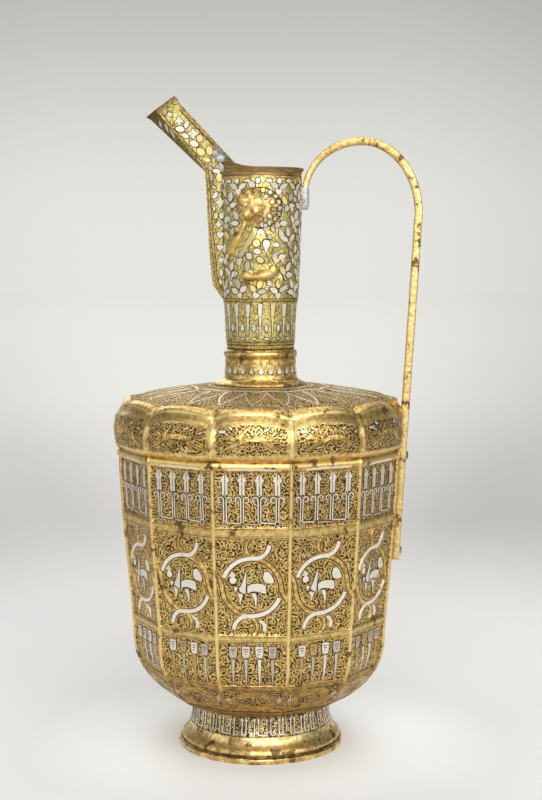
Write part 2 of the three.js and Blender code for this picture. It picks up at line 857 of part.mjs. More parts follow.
// A frame on the sunk ground of a facet: X to the right, Y up the slope, Z outwards
function panelFrame(facet) {
  const rise = panelHigh - panelLow;
  const tilt = Math.atan((planeOut(panelHigh) - planeOut(panelLow)) / rise);
  const right = new THREE.Vector3(0, 1, 0);
  const up = new THREE.Vector3(Math.sin(tilt), 0, Math.cos(tilt));
  const outward = new THREE.Vector3(Math.cos(tilt), 0, -Math.sin(tilt));
  const frame = new THREE.Group();
  frame.quaternion.setFromRotationMatrix(new THREE.Matrix4().makeBasis(right, up, outward));
  frame.position.set(planeOut(panelMiddle), 0, bodyLevel + panelMiddle);
  frame.position.addScaledVector(outward, seam - groundDepth);
  const turned = new THREE.Group();
  turned.rotation.z = facet * 2 * halfAngle;
  turned.add(frame);
  return [turned, frame];
}

// The ewer

const ewer = new THREE.Group();

function place(name, geometry, material, level = 0, parent = ewer) {
  const mesh = new THREE.Mesh(geometry, material);
  mesh.name = name;
  mesh.position.z = level;
  parent.add(mesh);
}

place("foot_rim_ring", rimRing(), polishedBrass);
place("foot", foot(), polishedBrass, ringHeight + seam);
place("body_shell", bodyShell(), chasedBrass, bodyLevel);
place("base_plate", basePlate(), brownBrass, bodyLevel + bodyWall + seam);
place("shoulder_shell", shoulderShell(), chasedBrass, shoulderLevel);
place("collar", collar(), polishedBrass, collarLevel);
place("neck", neck(), chasedBrass, neckLevel);
place("spout", spout(), chasedBrass, neckLevel);
place("handle_strap", handleStrap(), polishedBrass);
place("handle_waist_rivet", waistRivet(), brownBrass);
place("handle_tail_rivet", tailRivet(), polishedBrass);
place("handle_lug", handleLug(), solder);

const ribbonGeometries = ribbons.map(ribbonGeometry);
for (let facet = 0; facet < facets; facet++) {
  const [turned, frame] = panelFrame(facet);
  ewer.add(turned);
  ribbons.forEach(({ name }, i) => {
    const number = String(facet + 1).padStart(2, "0");
    place(`silver_ribbon_${name}_${number}`, ribbonGeometries[i], silver, 0, frame);
  });
}

// The origin is under the middle of the whole vessel, on the surface that it stands on.
const bounds = new THREE.Box3().setFromObject(ewer, true);
const centre = bounds.getCenter(new THREE.Vector3());
ewer.position.set(-centre.x, -centre.y, -bounds.min.z);

export default ewer;
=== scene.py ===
# %% [markdown]
# A twelve-sided ewer of chased brass with silver inlay. The CAD frame gives every piece its place,
# and this lesson dresses it: fine sheet metal over the solids, thin silver shapes laid in dark beds,
# and brass whose colour changes with wear, with painted shade in its creases and low down and painted
# highlights on its ridges. Each step says what the real piece is, how it could be made, and why this
# way was taken.

import math
import random

import bmesh
import bpy
import numpy as np
from mathutils import Matrix, Vector, noise
from mathutils.bvhtree import BVHTree
from mathutils.geometry import tessellate_polygon


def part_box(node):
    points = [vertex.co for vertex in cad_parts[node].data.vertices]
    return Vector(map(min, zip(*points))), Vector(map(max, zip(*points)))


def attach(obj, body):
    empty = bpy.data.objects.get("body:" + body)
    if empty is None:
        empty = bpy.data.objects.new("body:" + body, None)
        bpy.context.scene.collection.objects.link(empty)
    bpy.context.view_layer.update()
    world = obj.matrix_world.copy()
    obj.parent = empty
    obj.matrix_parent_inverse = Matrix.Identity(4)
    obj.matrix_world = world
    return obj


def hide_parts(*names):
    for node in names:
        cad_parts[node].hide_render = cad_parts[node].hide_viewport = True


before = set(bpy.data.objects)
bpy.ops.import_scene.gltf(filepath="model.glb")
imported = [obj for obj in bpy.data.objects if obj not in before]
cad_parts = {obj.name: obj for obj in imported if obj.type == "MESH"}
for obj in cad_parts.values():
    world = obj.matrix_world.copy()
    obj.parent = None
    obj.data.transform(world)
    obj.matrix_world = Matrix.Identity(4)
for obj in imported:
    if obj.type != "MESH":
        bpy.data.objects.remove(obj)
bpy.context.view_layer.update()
print("CAD nodes:", len(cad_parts))

# %% [markdown]
# The vessel is round about its own axis, which stands a little to one side of the origin, because the
# spout and the handle reach out by different amounts. Working in millimetres about that axis keeps
# every formula short. One helper turns such points into metres in the shared frame. A piece's own map
# counts in steps of MAP_SPAN millimetres.

# %% Units and the vessel's own axis
MM = 0.001
ring_low, ring_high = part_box("foot_rim_ring")
AXIS = (ring_low.x + ring_high.x) / 2
MAP_SPAN = 100.0
FACETS = 12
HALF = math.pi / FACETS
print("axis at x =", round(AXIS / MM, 2), "mm")


def metres(points):
    placed = np.asarray(points, float) * MM
    placed[:, 0] += AXIS
    return placed


def ease(share):
    share = min(max(share, 0.0), 1.0)
    return share * share * (3 - 2 * share)


# %% [markdown]
# Hand-raised sheet is never quite true. The same slow wobble of a fifth of a millimetre is given to
# everything that sits on the vessel, as a function of place alone, so that inlay and ground move
# together and never part. The noise has a fixed seed, so that every run gives the same sheet.

# %% Make a piece from points and faces
WOBBLE = 0.22
noise.seed_set(11)
WOBBLE_LENGTH = 24.0


def hand_wobble(points):
    moved = np.array(points, float)
    for i, point in enumerate(moved):
        moved[i] += np.array(noise.noise_vector(Vector(point) / WOBBLE_LENGTH)) * WOBBLE
    return moved


def store(piece, label, values):
    """Keeps one number for each point of a piece, which materials and node trees can read."""
    layer = piece.data.attributes.new(label, "FLOAT", "POINT")
    layer.data.foreach_set("value", np.asarray(values, np.float32))


def grid_faces(points, columns, open_rows=False, closed_columns=False):
    """Joins rows of points into faces. The last row joins the first one unless the rows are open."""
    rows = len(points) // columns
    faces = []
    for row in range(rows - 1 if open_rows else rows):
        here = row * columns
        above = (row + 1) % rows * columns
        for i in range(columns if closed_columns else columns - 1):
            j = (i + 1) % columns
            faces.append((here + i, here + j, above + j, above + i))
    return faces


def new_piece(name, points, faces, uv=None, wobble=True, smooth=True, **kept):
    points = hand_wobble(points) if wobble else points
    mesh = bpy.data.meshes.new(name)
    mesh.from_pydata(metres(points).tolist(), [], faces)
    if uv is not None:
        corner = np.empty(len(mesh.loops), int)
        mesh.loops.foreach_get("vertex_index", corner)
        layer = mesh.uv_layers.new(name="panel")
        layer.data.foreach_set("uv", np.asarray(uv, np.float32)[corner].ravel())
    mesh.polygons.foreach_set("use_smooth", [smooth] * len(mesh.polygons))
    piece = bpy.data.objects.new(name, mesh)
    bpy.context.scene.collection.objects.link(piece)
    for label, values in kept.items():
        store(piece, label, values)
    return piece


def tidy_normals(piece, weld=0.0):
    shape = bmesh.new()
    shape.from_mesh(piece.data)
    if weld:
        bmesh.ops.remove_doubles(shape, verts=shape.verts, dist=weld)
    bmesh.ops.recalc_face_normals(shape, faces=shape.faces)
    shape.to_mesh(piece.data)
    shape.free()


def near(value, target, reach):
    return max(0.0, 1.0 - abs(value - target) / reach)


def places_of(piece):
    """Every point of a piece in millimetres about the vessel's axis."""
    place = np.empty(len(piece.data.vertices) * 3, np.float32)
    piece.data.vertices.foreach_get("co", place)
    place = place.reshape(-1, 3).astype(float)
    place[:, 0] -= AXIS
    return place / MM


def store_wear_and_shading(piece, rule):
    """Stores how brown and how rubbed each point is: the brown is partly dirt and partly painted shade, the
    rubbed share partly wear and partly painted highlight. The rule gets its radius, angle and level.
    """
    wear_and_shading = [rule(math.hypot(x, y), math.atan2(y, x), z) for x, y, z in places_of(piece)]
    for column, label in enumerate(("grime_and_shade", "rub_and_highlight")):
        store(piece, label, [min(max(row[column], 0.0), 1.0) for row in wear_and_shading])


def finish_piece(piece, replaced=()):
    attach(piece, "root")
    if replaced:
        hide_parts(*replaced)
    print(piece.name, len(piece.data.vertices), "points")


# %% [markdown]
# The camera stands where the photographer's did: about nine tenths of a metre away, a little above the
# body, and turned a few degrees towards the handle. The lens is set from the picture's long side.

# %% Camera
scene = bpy.context.scene
camera_data = bpy.data.cameras.new("camera")
camera_data.lens = 67.5
camera_data.sensor_width = 36.0
camera_data.clip_start = 0.05
camera_data.clip_end = 60.0
camera = bpy.data.objects.new("camera", camera_data)
camera.location = (0.05103, -0.91135, 0.2953)
camera.rotation_euler = (math.radians(84.8), 0.0, math.radians(3.049))
scene.collection.objects.link(camera)
scene.camera = camera
scene.view_settings.view_transform = "Standard"

# %% [markdown]
# A shader is wired up many times below, so small helpers keep that readable: they add a node and feed
# its inputs, make a node group with named sockets, read what a piece stores, and start a material.

# %% Shader helpers


def add_node(tree, kind, settings=None, **inputs):
    node = tree.nodes.new(kind)
    for key, value in (settings or {}).items():
        setattr(node, key, value)
    for key, value in inputs.items():
        socket = node.inputs[int(key[1:])] if key[1:].isdigit() else node.inputs[key.replace("_", " ")]
        if isinstance(value, bpy.types.NodeSocket):
            tree.links.new(value, socket)
        else:
            socket.default_value = value
    return node


def maths(tree, operation, a, b=0.0, clamp=False):
    node = add_node(tree, "ShaderNodeMath", {"operation": operation, "use_clamp": clamp}, i0=a, i1=b)
    return node.outputs[0]


def product(tree, a, b):
    return maths(tree, "MULTIPLY", a, b)


def total(tree, a, b, clamp=False):
    return maths(tree, "ADD", a, b, clamp)


def minus(tree, a, b):
    return maths(tree, "SUBTRACT", a, b)


def stored(tree, label):
    """The number that a piece keeps under this name for each of its points."""
    return add_node(tree, "ShaderNodeAttribute", {"attribute_name": label}).outputs["Fac"]


def noise_node(tree, place, scale, detail, roughness=0.5):
    return add_node(tree, "ShaderNodeTexNoise", Vector=place, Scale=scale, Detail=detail,
                    Roughness=roughness)


def place_parts(tree, place):
    return add_node(tree, "ShaderNodeSeparateXYZ", Vector=place).outputs


def seen_directly(tree):
    """1 where the camera or a reflection looks, 0 where only soft light is gathered."""
    rays = tree.nodes.new("ShaderNodeLightPath").outputs
    seen = total(tree, rays["Is Camera Ray"], rays["Is Glossy Ray"], clamp=True)
    return total(tree, seen, rays["Is Transmission Ray"], clamp=True)


def blend_colours(tree, share, first, second, mode="MIX"):
    node = add_node(tree, "ShaderNodeMix", {"data_type": "RGBA", "blend_type": mode})
    for index, value in ((0, share), (6, first), (7, second)):
        if isinstance(value, bpy.types.NodeSocket):
            tree.links.new(value, node.inputs[index])
        else:
            node.inputs[index].default_value = value
    return node.outputs[2]


def ramp(tree, value, low, high, to_low=0.0, to_high=1.0):
    settings = {"interpolation_type": "SMOOTHSTEP", "clamp": True}
    node = add_node(tree, "ShaderNodeMapRange", settings, i0=value, i1=low, i2=high, i3=to_low, i4=to_high)
    return node.outputs[0]


def shader_group(name, inputs, outputs):
    tree = bpy.data.node_groups.new(name, "ShaderNodeTree")
    for label, kind, value in inputs:
        socket = tree.interface.new_socket(label, in_out="INPUT", socket_type=kind)
        if value is not None:
            socket.default_value = value
    for label, kind in outputs:
        tree.interface.new_socket(label, in_out="OUTPUT", socket_type=kind)
    return tree, tree.nodes.new("NodeGroupInput"), tree.nodes.new("NodeGroupOutput")


def use_group(tree, group, **inputs):
    node = tree.nodes.new("ShaderNodeGroup")
    node.node_tree = group
    for key, value in inputs.items():
        if isinstance(value, bpy.types.NodeSocket):
            tree.links.new(value, node.inputs[key.replace("_", " ")])
        else:
            node.inputs[key.replace("_", " ")].default_value = value
    return node


def start_material(name):
    material = bpy.data.materials.new(name)
    material.use_nodes = True
    tree = material.node_tree
    shader = tree.nodes["Principled BSDF"]
    place = tree.nodes.new("ShaderNodeTexCoord").outputs["Object"]
    millimetres = add_node(tree, "ShaderNodeVectorMath", {"operation": "SCALE"}, i0=place, Scale=1000.0)
    return material, tree, shader, millimetres.outputs[0]


# %% [markdown]
# Old brass is bright where hands rub it and brown where they don't. The stain is slow noise, broken by
# finer noise at its edges, and the same recipe serves every brass part with its own size and amount,
# so it is a node group. The group gives a mask and a little height for dents.

# %% Node group: stain
FLOAT = "NodeSocketFloat"
VECTOR = "NodeSocketVector"

stain, stain_in, stain_out = shader_group(
    "stain",
    [("Place", VECTOR, None), ("Size", FLOAT, 18.0), ("Amount", FLOAT, 0.4)],
    [("Mask", FLOAT), ("Specks", FLOAT), ("Height", FLOAT)],
)
inverse = maths(stain, "DIVIDE", 1.0, stain_in.outputs["Size"])
slow = noise_node(stain, stain_in.outputs["Place"], inverse, 7.0, 0.62)
edge = minus(stain, 0.72, product(stain, stain_in.outputs["Amount"], 0.42))
mask = ramp(stain, slow.outputs[0], edge, total(stain, edge, 0.11))
grit = noise_node(stain, stain_in.outputs["Place"], 0.9, 3.0, 0.7)
specks = ramp(stain, grit.outputs[0], 0.66, 0.74)
stain.links.new(mask, stain_out.inputs["Mask"])
stain.links.new(specks, stain_out.inputs["Specks"])
stain.links.new(slow.outputs[0], stain_out.inputs["Height"])

# %% [markdown]
# The ground between the frames is a carpet of gold scrolls with small black gaps, most of them about a
# millimetre across. Cell noise scatters centres, and round each one a spiral stem is wound, left or
# right at random: the distance from the centre and the angle together give the turns. Small leaf
# heads from finer cells break the dark that is left between the turns. A warp bends it all a little.

# %% Node group: scroll ground
scroll, scroll_in, scroll_out = shader_group(
    "scroll ground",
    [("Place", VECTOR, None), ("Coil", FLOAT, 8.5), ("Pitch", FLOAT, 2.3), ("Stem", FLOAT, 0.4),
     ("Leaf", FLOAT, 0.34)],
    [("Gap", FLOAT), ("Core", FLOAT)],
)
bend = noise_node(scroll, scroll_in.outputs["Place"], 0.3, 1.0)
bend_by = add_node(scroll, "ShaderNodeVectorMath", {"operation": "MULTIPLY_ADD"}, i0=bend.outputs["Color"],
                   i1=(2.2, 2.2, 0.0), i2=scroll_in.outputs["Place"])
coil_scale = maths(scroll, "DIVIDE", 1.0, scroll_in.outputs["Coil"])
coils = add_node(scroll, "ShaderNodeTexVoronoi", {"voronoi_dimensions": "2D", "feature": "F1"},
                 Vector=bend_by.outputs[0], Scale=coil_scale, Randomness=0.75)
from_centre = add_node(scroll, "ShaderNodeVectorMath", {"operation": "SUBTRACT"}, i0=bend_by.outputs[0],
                       i1=coils.outputs["Position"])
sides = place_parts(scroll, from_centre.outputs[0])
chances = place_parts(scroll, coils.outputs["Color"])
flat = add_node(scroll, "ShaderNodeCombineXYZ", X=sides["X"], Y=sides["Y"]).outputs[0]
reach = add_node(scroll, "ShaderNodeVectorMath", {"operation": "LENGTH"}, i0=flat).outputs["Value"]
angle = maths(scroll, "DIVIDE", maths(scroll, "ARCTAN2", sides["Y"], sides["X"]), 2 * math.pi)
side = maths(scroll, "GREATER_THAN", chances["X"], 0.5)
hand = minus(scroll, product(scroll, side, 2.0), 1.0)
outward = maths(scroll, "DIVIDE", reach, scroll_in.outputs["Pitch"])
turns = total(scroll, outward, total(scroll, product(scroll, hand, angle), chances["Y"]))
from_middle = maths(scroll, "ABSOLUTE", minus(scroll, maths(scroll, "FRACT", turns), 0.5))
from_stem = product(scroll, from_middle, 2.0)
stem_edge = total(scroll, scroll_in.outputs["Stem"], 0.16)
off_stem = ramp(scroll, from_stem, scroll_in.outputs["Stem"], stem_edge)
heads = add_node(scroll, "ShaderNodeTexVoronoi", {"voronoi_dimensions": "2D", "feature": "F1"},
                 Vector=bend_by.outputs[0], Scale=0.66, Randomness=0.85)
off_heads = ramp(scroll, heads.outputs["Distance"], scroll_in.outputs["Leaf"],
                 total(scroll, scroll_in.outputs["Leaf"], 0.08))
gap = product(scroll, off_stem, off_heads)
scroll.links.new(gap, scroll_out.inputs["Gap"])
# Core marks the middle of each stem, where the engraved finish lays a painted highlight.
scroll.links.new(ramp(scroll, from_stem, 0.05, 0.3, 1.0, 0.0), scroll_out.inputs["Core"])

# %% [markdown]
# Brass is a metal, so its colour sits in the base colour and the lights do most of the rest. Each finish
# mixes a rubbed tone with a brown one by the stain mask, roughens the brown, and adds a faint dent height.
# A number stored on each piece browns it further, partly as dirt and partly as painted shade in creases
# and low down, and another lays on a painted highlight, partly rubbed wear, along ridges, lips and beads.

# %% Brass finishes
RUBBED = (0.83, 0.605, 0.225, 1.0)
WARM = (0.53, 0.325, 0.105, 1.0)
BROWN = (0.20, 0.125, 0.055, 1.0)
HIGHLIGHT = (0.98, 0.755, 0.31, 1.0)
ORANGE = (0.58, 0.345, 0.105, 1.0)
PITCH = (0.075, 0.048, 0.020, 1.0)


def brass(name, bright=RUBBED, middle=WARM, dull=BROWN, size=18.0, amount=0.4, shine=0.28, dents=0.25):
    material, tree, shader, place = start_material(name)
    broad = use_group(tree, stain, Place=place, Size=size, Amount=amount)
    fine = use_group(tree, stain, Place=place, Size=size * 0.31, Amount=amount * 1.1 + 0.22)
    # Painted shade, partly dirt: a stored number browns creases, the lobes' undersides and the low bowl.
    grime_and_shade = stored(tree, "grime_and_shade")
    uneven = total(tree, product(tree, fine.outputs["Height"], 1.6), -0.15)
    stain_and_shade = total(tree, broad.outputs["Mask"], product(tree, grime_and_shade, uneven), clamp=True)
    colour = blend_colours(tree, fine.outputs["Mask"], bright, middle)
    # Painted highlight, partly rubbed wear: a stored number lays the pale highlight colour on ridges, lips,
    # beads and the foot's flare.
    rub_and_highlight = stored(tree, "rub_and_highlight")
    clean = minus(tree, 1.0, product(tree, broad.outputs["Mask"], 0.5))
    colour = blend_colours(tree, product(tree, rub_and_highlight, clean), colour, HIGHLIGHT)
    colour = blend_colours(tree, ramp(tree, stain_and_shade, 0.0, 0.55, 0.0, 0.75), colour, ORANGE)
    colour = blend_colours(tree, ramp(tree, stain_and_shade, 0.35, 1.0), colour, dull)
    colour = blend_colours(tree, product(tree, fine.outputs["Specks"], 0.6), colour, PITCH)
    tree.links.new(colour, shader.inputs["Base Color"])
    rough = total(tree, product(tree, stain_and_shade, 0.2), shine)
    tree.links.new(rough, shader.inputs["Roughness"])
    shader.inputs["Metallic"].default_value = 1.0
    bump = add_node(tree, "ShaderNodeBump", Strength=dents, Distance=0.0006, Height=fine.outputs["Height"])
    tree.links.new(bump.outputs[0], shader.inputs["Normal"])
    return material, tree, shader, colour, bump


polished = brass("polished brass", size=22.0, amount=0.42)[0]
frame_gold = brass("rubbed frame brass", bright=(0.88, 0.64, 0.23, 1.0), size=8.0, amount=0.4)[0]
brown_brass = brass("brown brass", bright=(0.42, 0.27, 0.12, 1.0), middle=(0.30, 0.19, 0.09, 1.0),
                    size=9.0, amount=0.8, shine=0.42)[0]

# %% [markdown]
# The body's sheet carries both frames and engraved panels. A point attribute made with the mesh says
# where the ground is cut, and the piece's own map gives millimetres across and up a facet, so the
# scrolls follow the sheet. Each facet's copy number shifts the pattern, so that no two are the same.

# %% Engraved brass


def engraved(name, pitch_of, stem, leaf, dark, coil, amount=0.4, bright=RUBBED, middle=WARM, shine=0.34):
    material, tree, shader, colour, bump = brass(name, bright=bright, middle=middle, size=8.5,
                                                 amount=amount, shine=shine, dents=0.2)
    panel = add_node(tree, "ShaderNodeUVMap", {"uv_map": "panel"}).outputs[0]
    copy = stored(tree, "copy_number")
    ground = stored(tree, "ground")
    shift = add_node(tree, "ShaderNodeCombineXYZ", X=product(tree, copy, 57.3),
                     Y=product(tree, copy, 31.7))
    scaled = add_node(tree, "ShaderNodeVectorMath", {"operation": "SCALE"}, i0=panel, Scale=MAP_SPAN)
    where = add_node(tree, "ShaderNodeVectorMath", {"operation": "ADD"}, i0=scaled.outputs[0],
                     i1=shift.outputs[0])
    worn = use_group(tree, stain, Place=where.outputs[0], Size=9.0, Amount=0.42).outputs["Mask"]
    thin_stem = minus(tree, stem, product(tree, worn, 0.14))
    thin_leaf = minus(tree, leaf, product(tree, worn, 0.1))
    cuts = use_group(tree, scroll, Place=where.outputs[0], Coil=coil, Pitch=pitch_of, Stem=thin_stem,
                     Leaf=thin_leaf)
    cut = product(tree, cuts.outputs["Gap"], ramp(tree, ground, 0.55, 0.85))
    # A painted highlight runs along the core of each raised scroll stem.
    lit = product(tree, product(tree, cuts.outputs["Core"], ground), 0.32)
    colour = blend_colours(tree, lit, colour, HIGHLIGHT)
    mixed = blend_colours(tree, cut, colour, dark)
    tree.links.new(mixed, shader.inputs["Base Color"])
    height = minus(tree, 1.0, cut)
    deep = add_node(tree, "ShaderNodeBump", Strength=0.6, Distance=0.0004, Height=height,
                    Normal=bump.outputs[0])
    tree.links.new(deep.outputs[0], shader.inputs["Normal"])
    return material


chased = engraved("chased brass", 1.75, 0.29, 0.33, PITCH, coil=7.4)
foot_brass = engraved("chased foot brass", 1.8, 0.27, 0.3, PITCH, coil=6.0, amount=0.43,
                      bright=(1.0, 0.83, 0.40, 1.0), middle=(0.62, 0.40, 0.16, 1.0), shine=0.3)
dome_brass = engraved("engraved dome brass", 1.8, 0.3, 0.32, (0.13, 0.10, 0.06, 1.0), coil=6.5,
                      bright=(0.77, 0.59, 0.34, 1.0), middle=(0.57, 0.43, 0.25, 1.0), shine=0.52)
for node in dome_brass.node_tree.nodes:
    if node.type == "BSDF_PRINCIPLED":
        node.inputs["Specular Tint"].default_value = (0.42, 0.38, 0.33, 1.0)

# %% [markdown]
# Silver is laid in as thin sheet and has gone uneven: nearly white where it is rubbed, pinkish grey in
# places, with a few dark freckles. A tone stored on each small piece makes some whiter and some
# duller, and a few have lost their silver and show the brass bed.

# %% Silver, black filling and solder


def silver_finish():
    material, tree, shader, place = start_material("worn silver")
    tone = stored(tree, "tone")
    marks = use_group(tree, stain, Place=place, Size=5.0, Amount=0.35)
    colour = blend_colours(tree, ramp(tree, tone, 0.1, 0.9), (0.52, 0.44, 0.34, 1.0),
                           (0.87, 0.80, 0.68, 1.0))
    colour = blend_colours(tree, product(tree, marks.outputs["Mask"], 0.55), colour,
                           (0.34, 0.31, 0.30, 1.0))
    nicks = noise_node(tree, place, 1.5, 3.0, 0.65)
    nicked = product(tree, ramp(tree, nicks.outputs[0], 0.57, 0.66), 0.5)
    colour = blend_colours(tree, nicked, colour, (0.24, 0.20, 0.16, 1.0))
    colour = blend_colours(tree, ramp(tree, tone, 1.15, 1.2), colour, (0.85, 0.71, 0.30, 1.0))
    colour = blend_colours(tree, ramp(tree, tone, 1.45, 1.5), colour, (0.50, 0.35, 0.14, 1.0))
    tree.links.new(colour, shader.inputs["Base Color"])
    tree.links.new(total(tree, product(tree, marks.outputs["Mask"], 0.2), 0.42),
                   shader.inputs["Roughness"])
    shader.inputs["Metallic"].default_value = 0.55
    bump = add_node(tree, "ShaderNodeBump", Strength=0.3, Distance=0.0003, Height=marks.outputs["Height"])
    tree.links.new(bump.outputs[0], shader.inputs["Normal"])
    return material


def plain_finish(name, light, dark, metallic, rough, size):
    material, tree, shader, place = start_material(name)
    marks = use_group(tree, stain, Place=place, Size=size, Amount=0.5)
    colour = blend_colours(tree, marks.outputs["Mask"], light, dark)
    tree.links.new(colour, shader.inputs["Base Color"])
    tree.links.new(total(tree, product(tree, marks.outputs["Mask"], 0.15), rough),
                   shader.inputs["Roughness"])
    shader.inputs["Metallic"].default_value = metallic
    bump = add_node(tree, "ShaderNodeBump", Strength=0.5, Distance=0.0005, Height=marks.outputs["Height"])
    tree.links.new(bump.outputs[0], shader.inputs["Normal"])
    return material


silver = silver_finish()
pitch = plain_finish("black filling", (0.06, 0.04, 0.018, 1.0), (0.15, 0.10, 0.04, 1.0), 1.0, 0.45, 3.0)
olive = plain_finish("olive filling", (0.075, 0.065, 0.022, 1.0), (0.16, 0.13, 0.045, 1.0), 1.0, 0.45, 3.0)
solder = plain_finish("grey solder", (0.56, 0.56, 0.55, 1.0), (0.36, 0.36, 0.35, 1.0), 0.6, 0.5, 4.0)
print("materials:", len(bpy.data.materials))

# %% [markdown]
# Twelve facets and twelve lobes are alike, so one wedge is modelled and Geometry Nodes copies it round
# the axis. The tree stores each copy's number for the shader, turns the copies real, welds the seams
# and sets the material, and then the result is kept as a plain mesh.

# %% Geometry Nodes: repeat round the axis


def geometry_tree(name, inputs):
    tree = bpy.data.node_groups.new(name, "GeometryNodeTree")
    tree.interface.new_socket("Geometry", in_out="INPUT", socket_type="NodeSocketGeometry")
    for label, kind in inputs:
        tree.interface.new_socket(label, in_out="INPUT", socket_type=kind)
    tree.interface.new_socket("Geometry", in_out="OUTPUT", socket_type="NodeSocketGeometry")
    return tree, tree.nodes.new("NodeGroupInput"), tree.nodes.new("NodeGroupOutput")


def end_tree(tree, geometry, group_in, group_out, weld=None):
    real = add_node(tree, "GeometryNodeRealizeInstances", Geometry=geometry).outputs[0]
    if weld is not None:
        real = add_node(tree, "GeometryNodeMergeByDistance", Geometry=real, Distance=weld).outputs[0]
    painted = add_node(tree, "GeometryNodeSetMaterial", Geometry=real,
                       Material=group_in.outputs["Material"])
    tree.links.new(painted.outputs[0], group_out.inputs[0])


def repeat_tree():
    tree, group_in, group_out = geometry_tree("repeat round the axis", [
        ("Copies", "NodeSocketInt"), ("Axis X", FLOAT), ("Weld", FLOAT),
        ("Material", "NodeSocketMaterial")])
    axis = add_node(tree, "ShaderNodeCombineXYZ", X=group_in.outputs["Axis X"])
    back = add_node(tree, "ShaderNodeCombineXYZ", X=product(tree, group_in.outputs["Axis X"], -1.0))
    points = add_node(tree, "GeometryNodePoints", Count=group_in.outputs["Copies"],
                      Position=axis.outputs[0])
    wedge = add_node(tree, "GeometryNodeTransform", Geometry=group_in.outputs["Geometry"],
                     Translation=back.outputs[0])
    index = tree.nodes.new("GeometryNodeInputIndex").outputs[0]
    step = maths(tree, "DIVIDE", 2 * math.pi, group_in.outputs["Copies"])
    turn = add_node(tree, "ShaderNodeCombineXYZ", Z=product(tree, index, step))
    rotation = add_node(tree, "FunctionNodeEulerToRotation", Euler=turn.outputs[0])
    copies = add_node(tree, "GeometryNodeInstanceOnPoints", Points=points.outputs[0],
                      Instance=wedge.outputs[0], Rotation=rotation.outputs[0])
    number = add_node(tree, "GeometryNodeStoreNamedAttribute", {"data_type": "FLOAT", "domain": "INSTANCE"},
                      Geometry=copies.outputs[0], Name="copy_number", Value=index)
    end_tree(tree, number.outputs[0], group_in, group_out, weld=group_in.outputs["Weld"])
    return tree


def run_tree(piece, tree, values, smooth=True):
    modifier = piece.modifiers.new(tree.name, "NODES")
    modifier.node_group = tree
    for socket in tree.interface.items_tree:
        if socket.item_type == "SOCKET" and socket.in_out == "INPUT" and socket.name in values:
            modifier[socket.identifier] = values[socket.name]
    graph = bpy.context.evaluated_depsgraph_get()
    made = bpy.data.meshes.new_from_object(piece.evaluated_get(graph), preserve_all_data_layers=True,
                                           depsgraph=graph)
    piece.modifiers.clear()
    piece.data = made
    made.polygons.foreach_set("use_smooth", [smooth] * len(made.polygons))
    return piece


repeat_round = repeat_tree()


def wobble_mesh(piece):
    placed = metres(hand_wobble(places_of(piece)))
    piece.data.vertices.foreach_set("co", placed.astype(np.float32).ravel())
    piece.data.update()


def round_about(piece, material, copies=FACETS, weld=0.0, smooth=True):
    values = {"Copies": copies, "Axis X": AXIS, "Weld": weld, "Material": material}
    run_tree(piece, repeat_round, values, smooth)
    wobble_mesh(piece)
    return piece


# %% [markdown]
# The body is one raised sheet of twelve facets. Its profile is an elliptical bowl below the heel and
# straight stretches above it, and the same sizes as in the CAD file give it here. A round bead runs
# up every rib, and the engraved panels lie a little below the frames.

# %% Body profile
BODY_LOW = 27.0
BODY_HEIGHT = 154.7
BODY_RADIUS = 86.9
UNDER_RADIUS = 47.0
HEEL = BODY_HEIGHT * 0.278
HEEL_RADIUS = BODY_RADIUS * 0.908
HEM = (BODY_LOW + BODY_HEIGHT * 0.149, BODY_LOW + BODY_HEIGHT * 0.173)
LOWER_BORDER = (BODY_LOW + BODY_HEIGHT * 0.343, BODY_LOW + BODY_HEIGHT * 0.371)
UPPER_BORDER = (BODY_LOW + BODY_HEIGHT * 0.738, BODY_LOW + BODY_HEIGHT * 0.777)
MOULD = (179.6, 184.5)
TUCK = (30.4, 43.8)
WALL = 1.9
BASE_HOLE = 38.0
BEAD_RISE = 0.5
BEAD_HALF = 1.15
BEAD_FLANK = 0.55
GROUND_DEPTH = 0.7
SIDE = [(HEEL, HEEL_RADIUS), (BODY_HEIGHT * 0.357, BODY_RADIUS * 0.916),
        (BODY_HEIGHT * 0.7505, BODY_RADIUS * 0.978), (BODY_HEIGHT * 0.95, BODY_RADIUS),
        (BODY_HEIGHT + 40, BODY_RADIUS)]


PANELS = ((HEM[1], LOWER_BORDER[0]), (LOWER_BORDER[1], UPPER_BORDER[0]), (UPPER_BORDER[1], MOULD[0]))


def rib_radius(level):
    up = level - BODY_LOW
    if up < HEEL:
        depth = HEEL / math.sqrt(1 - (UNDER_RADIUS / HEEL_RADIUS) ** 2)
        bowl = HEEL_RADIUS * math.sqrt(1 - ((HEEL - up) / depth) ** 2)
        tuck = max(0.0, (TUCK[0] - level) / (TUCK[0] - BODY_LOW)) ** 2
        return bowl + (TUCK[1] - bowl) * min(tuck, 1.0)
    return float(np.interp(up, [p[0] for p in SIDE], [p[1] for p in SIDE]))


def sunk(level):
    deep = 0.0
    for low, high in PANELS:
        inside = min(level - low, high - level)
        deep = max(deep, ease(inside / BEAD_FLANK))
    return deep


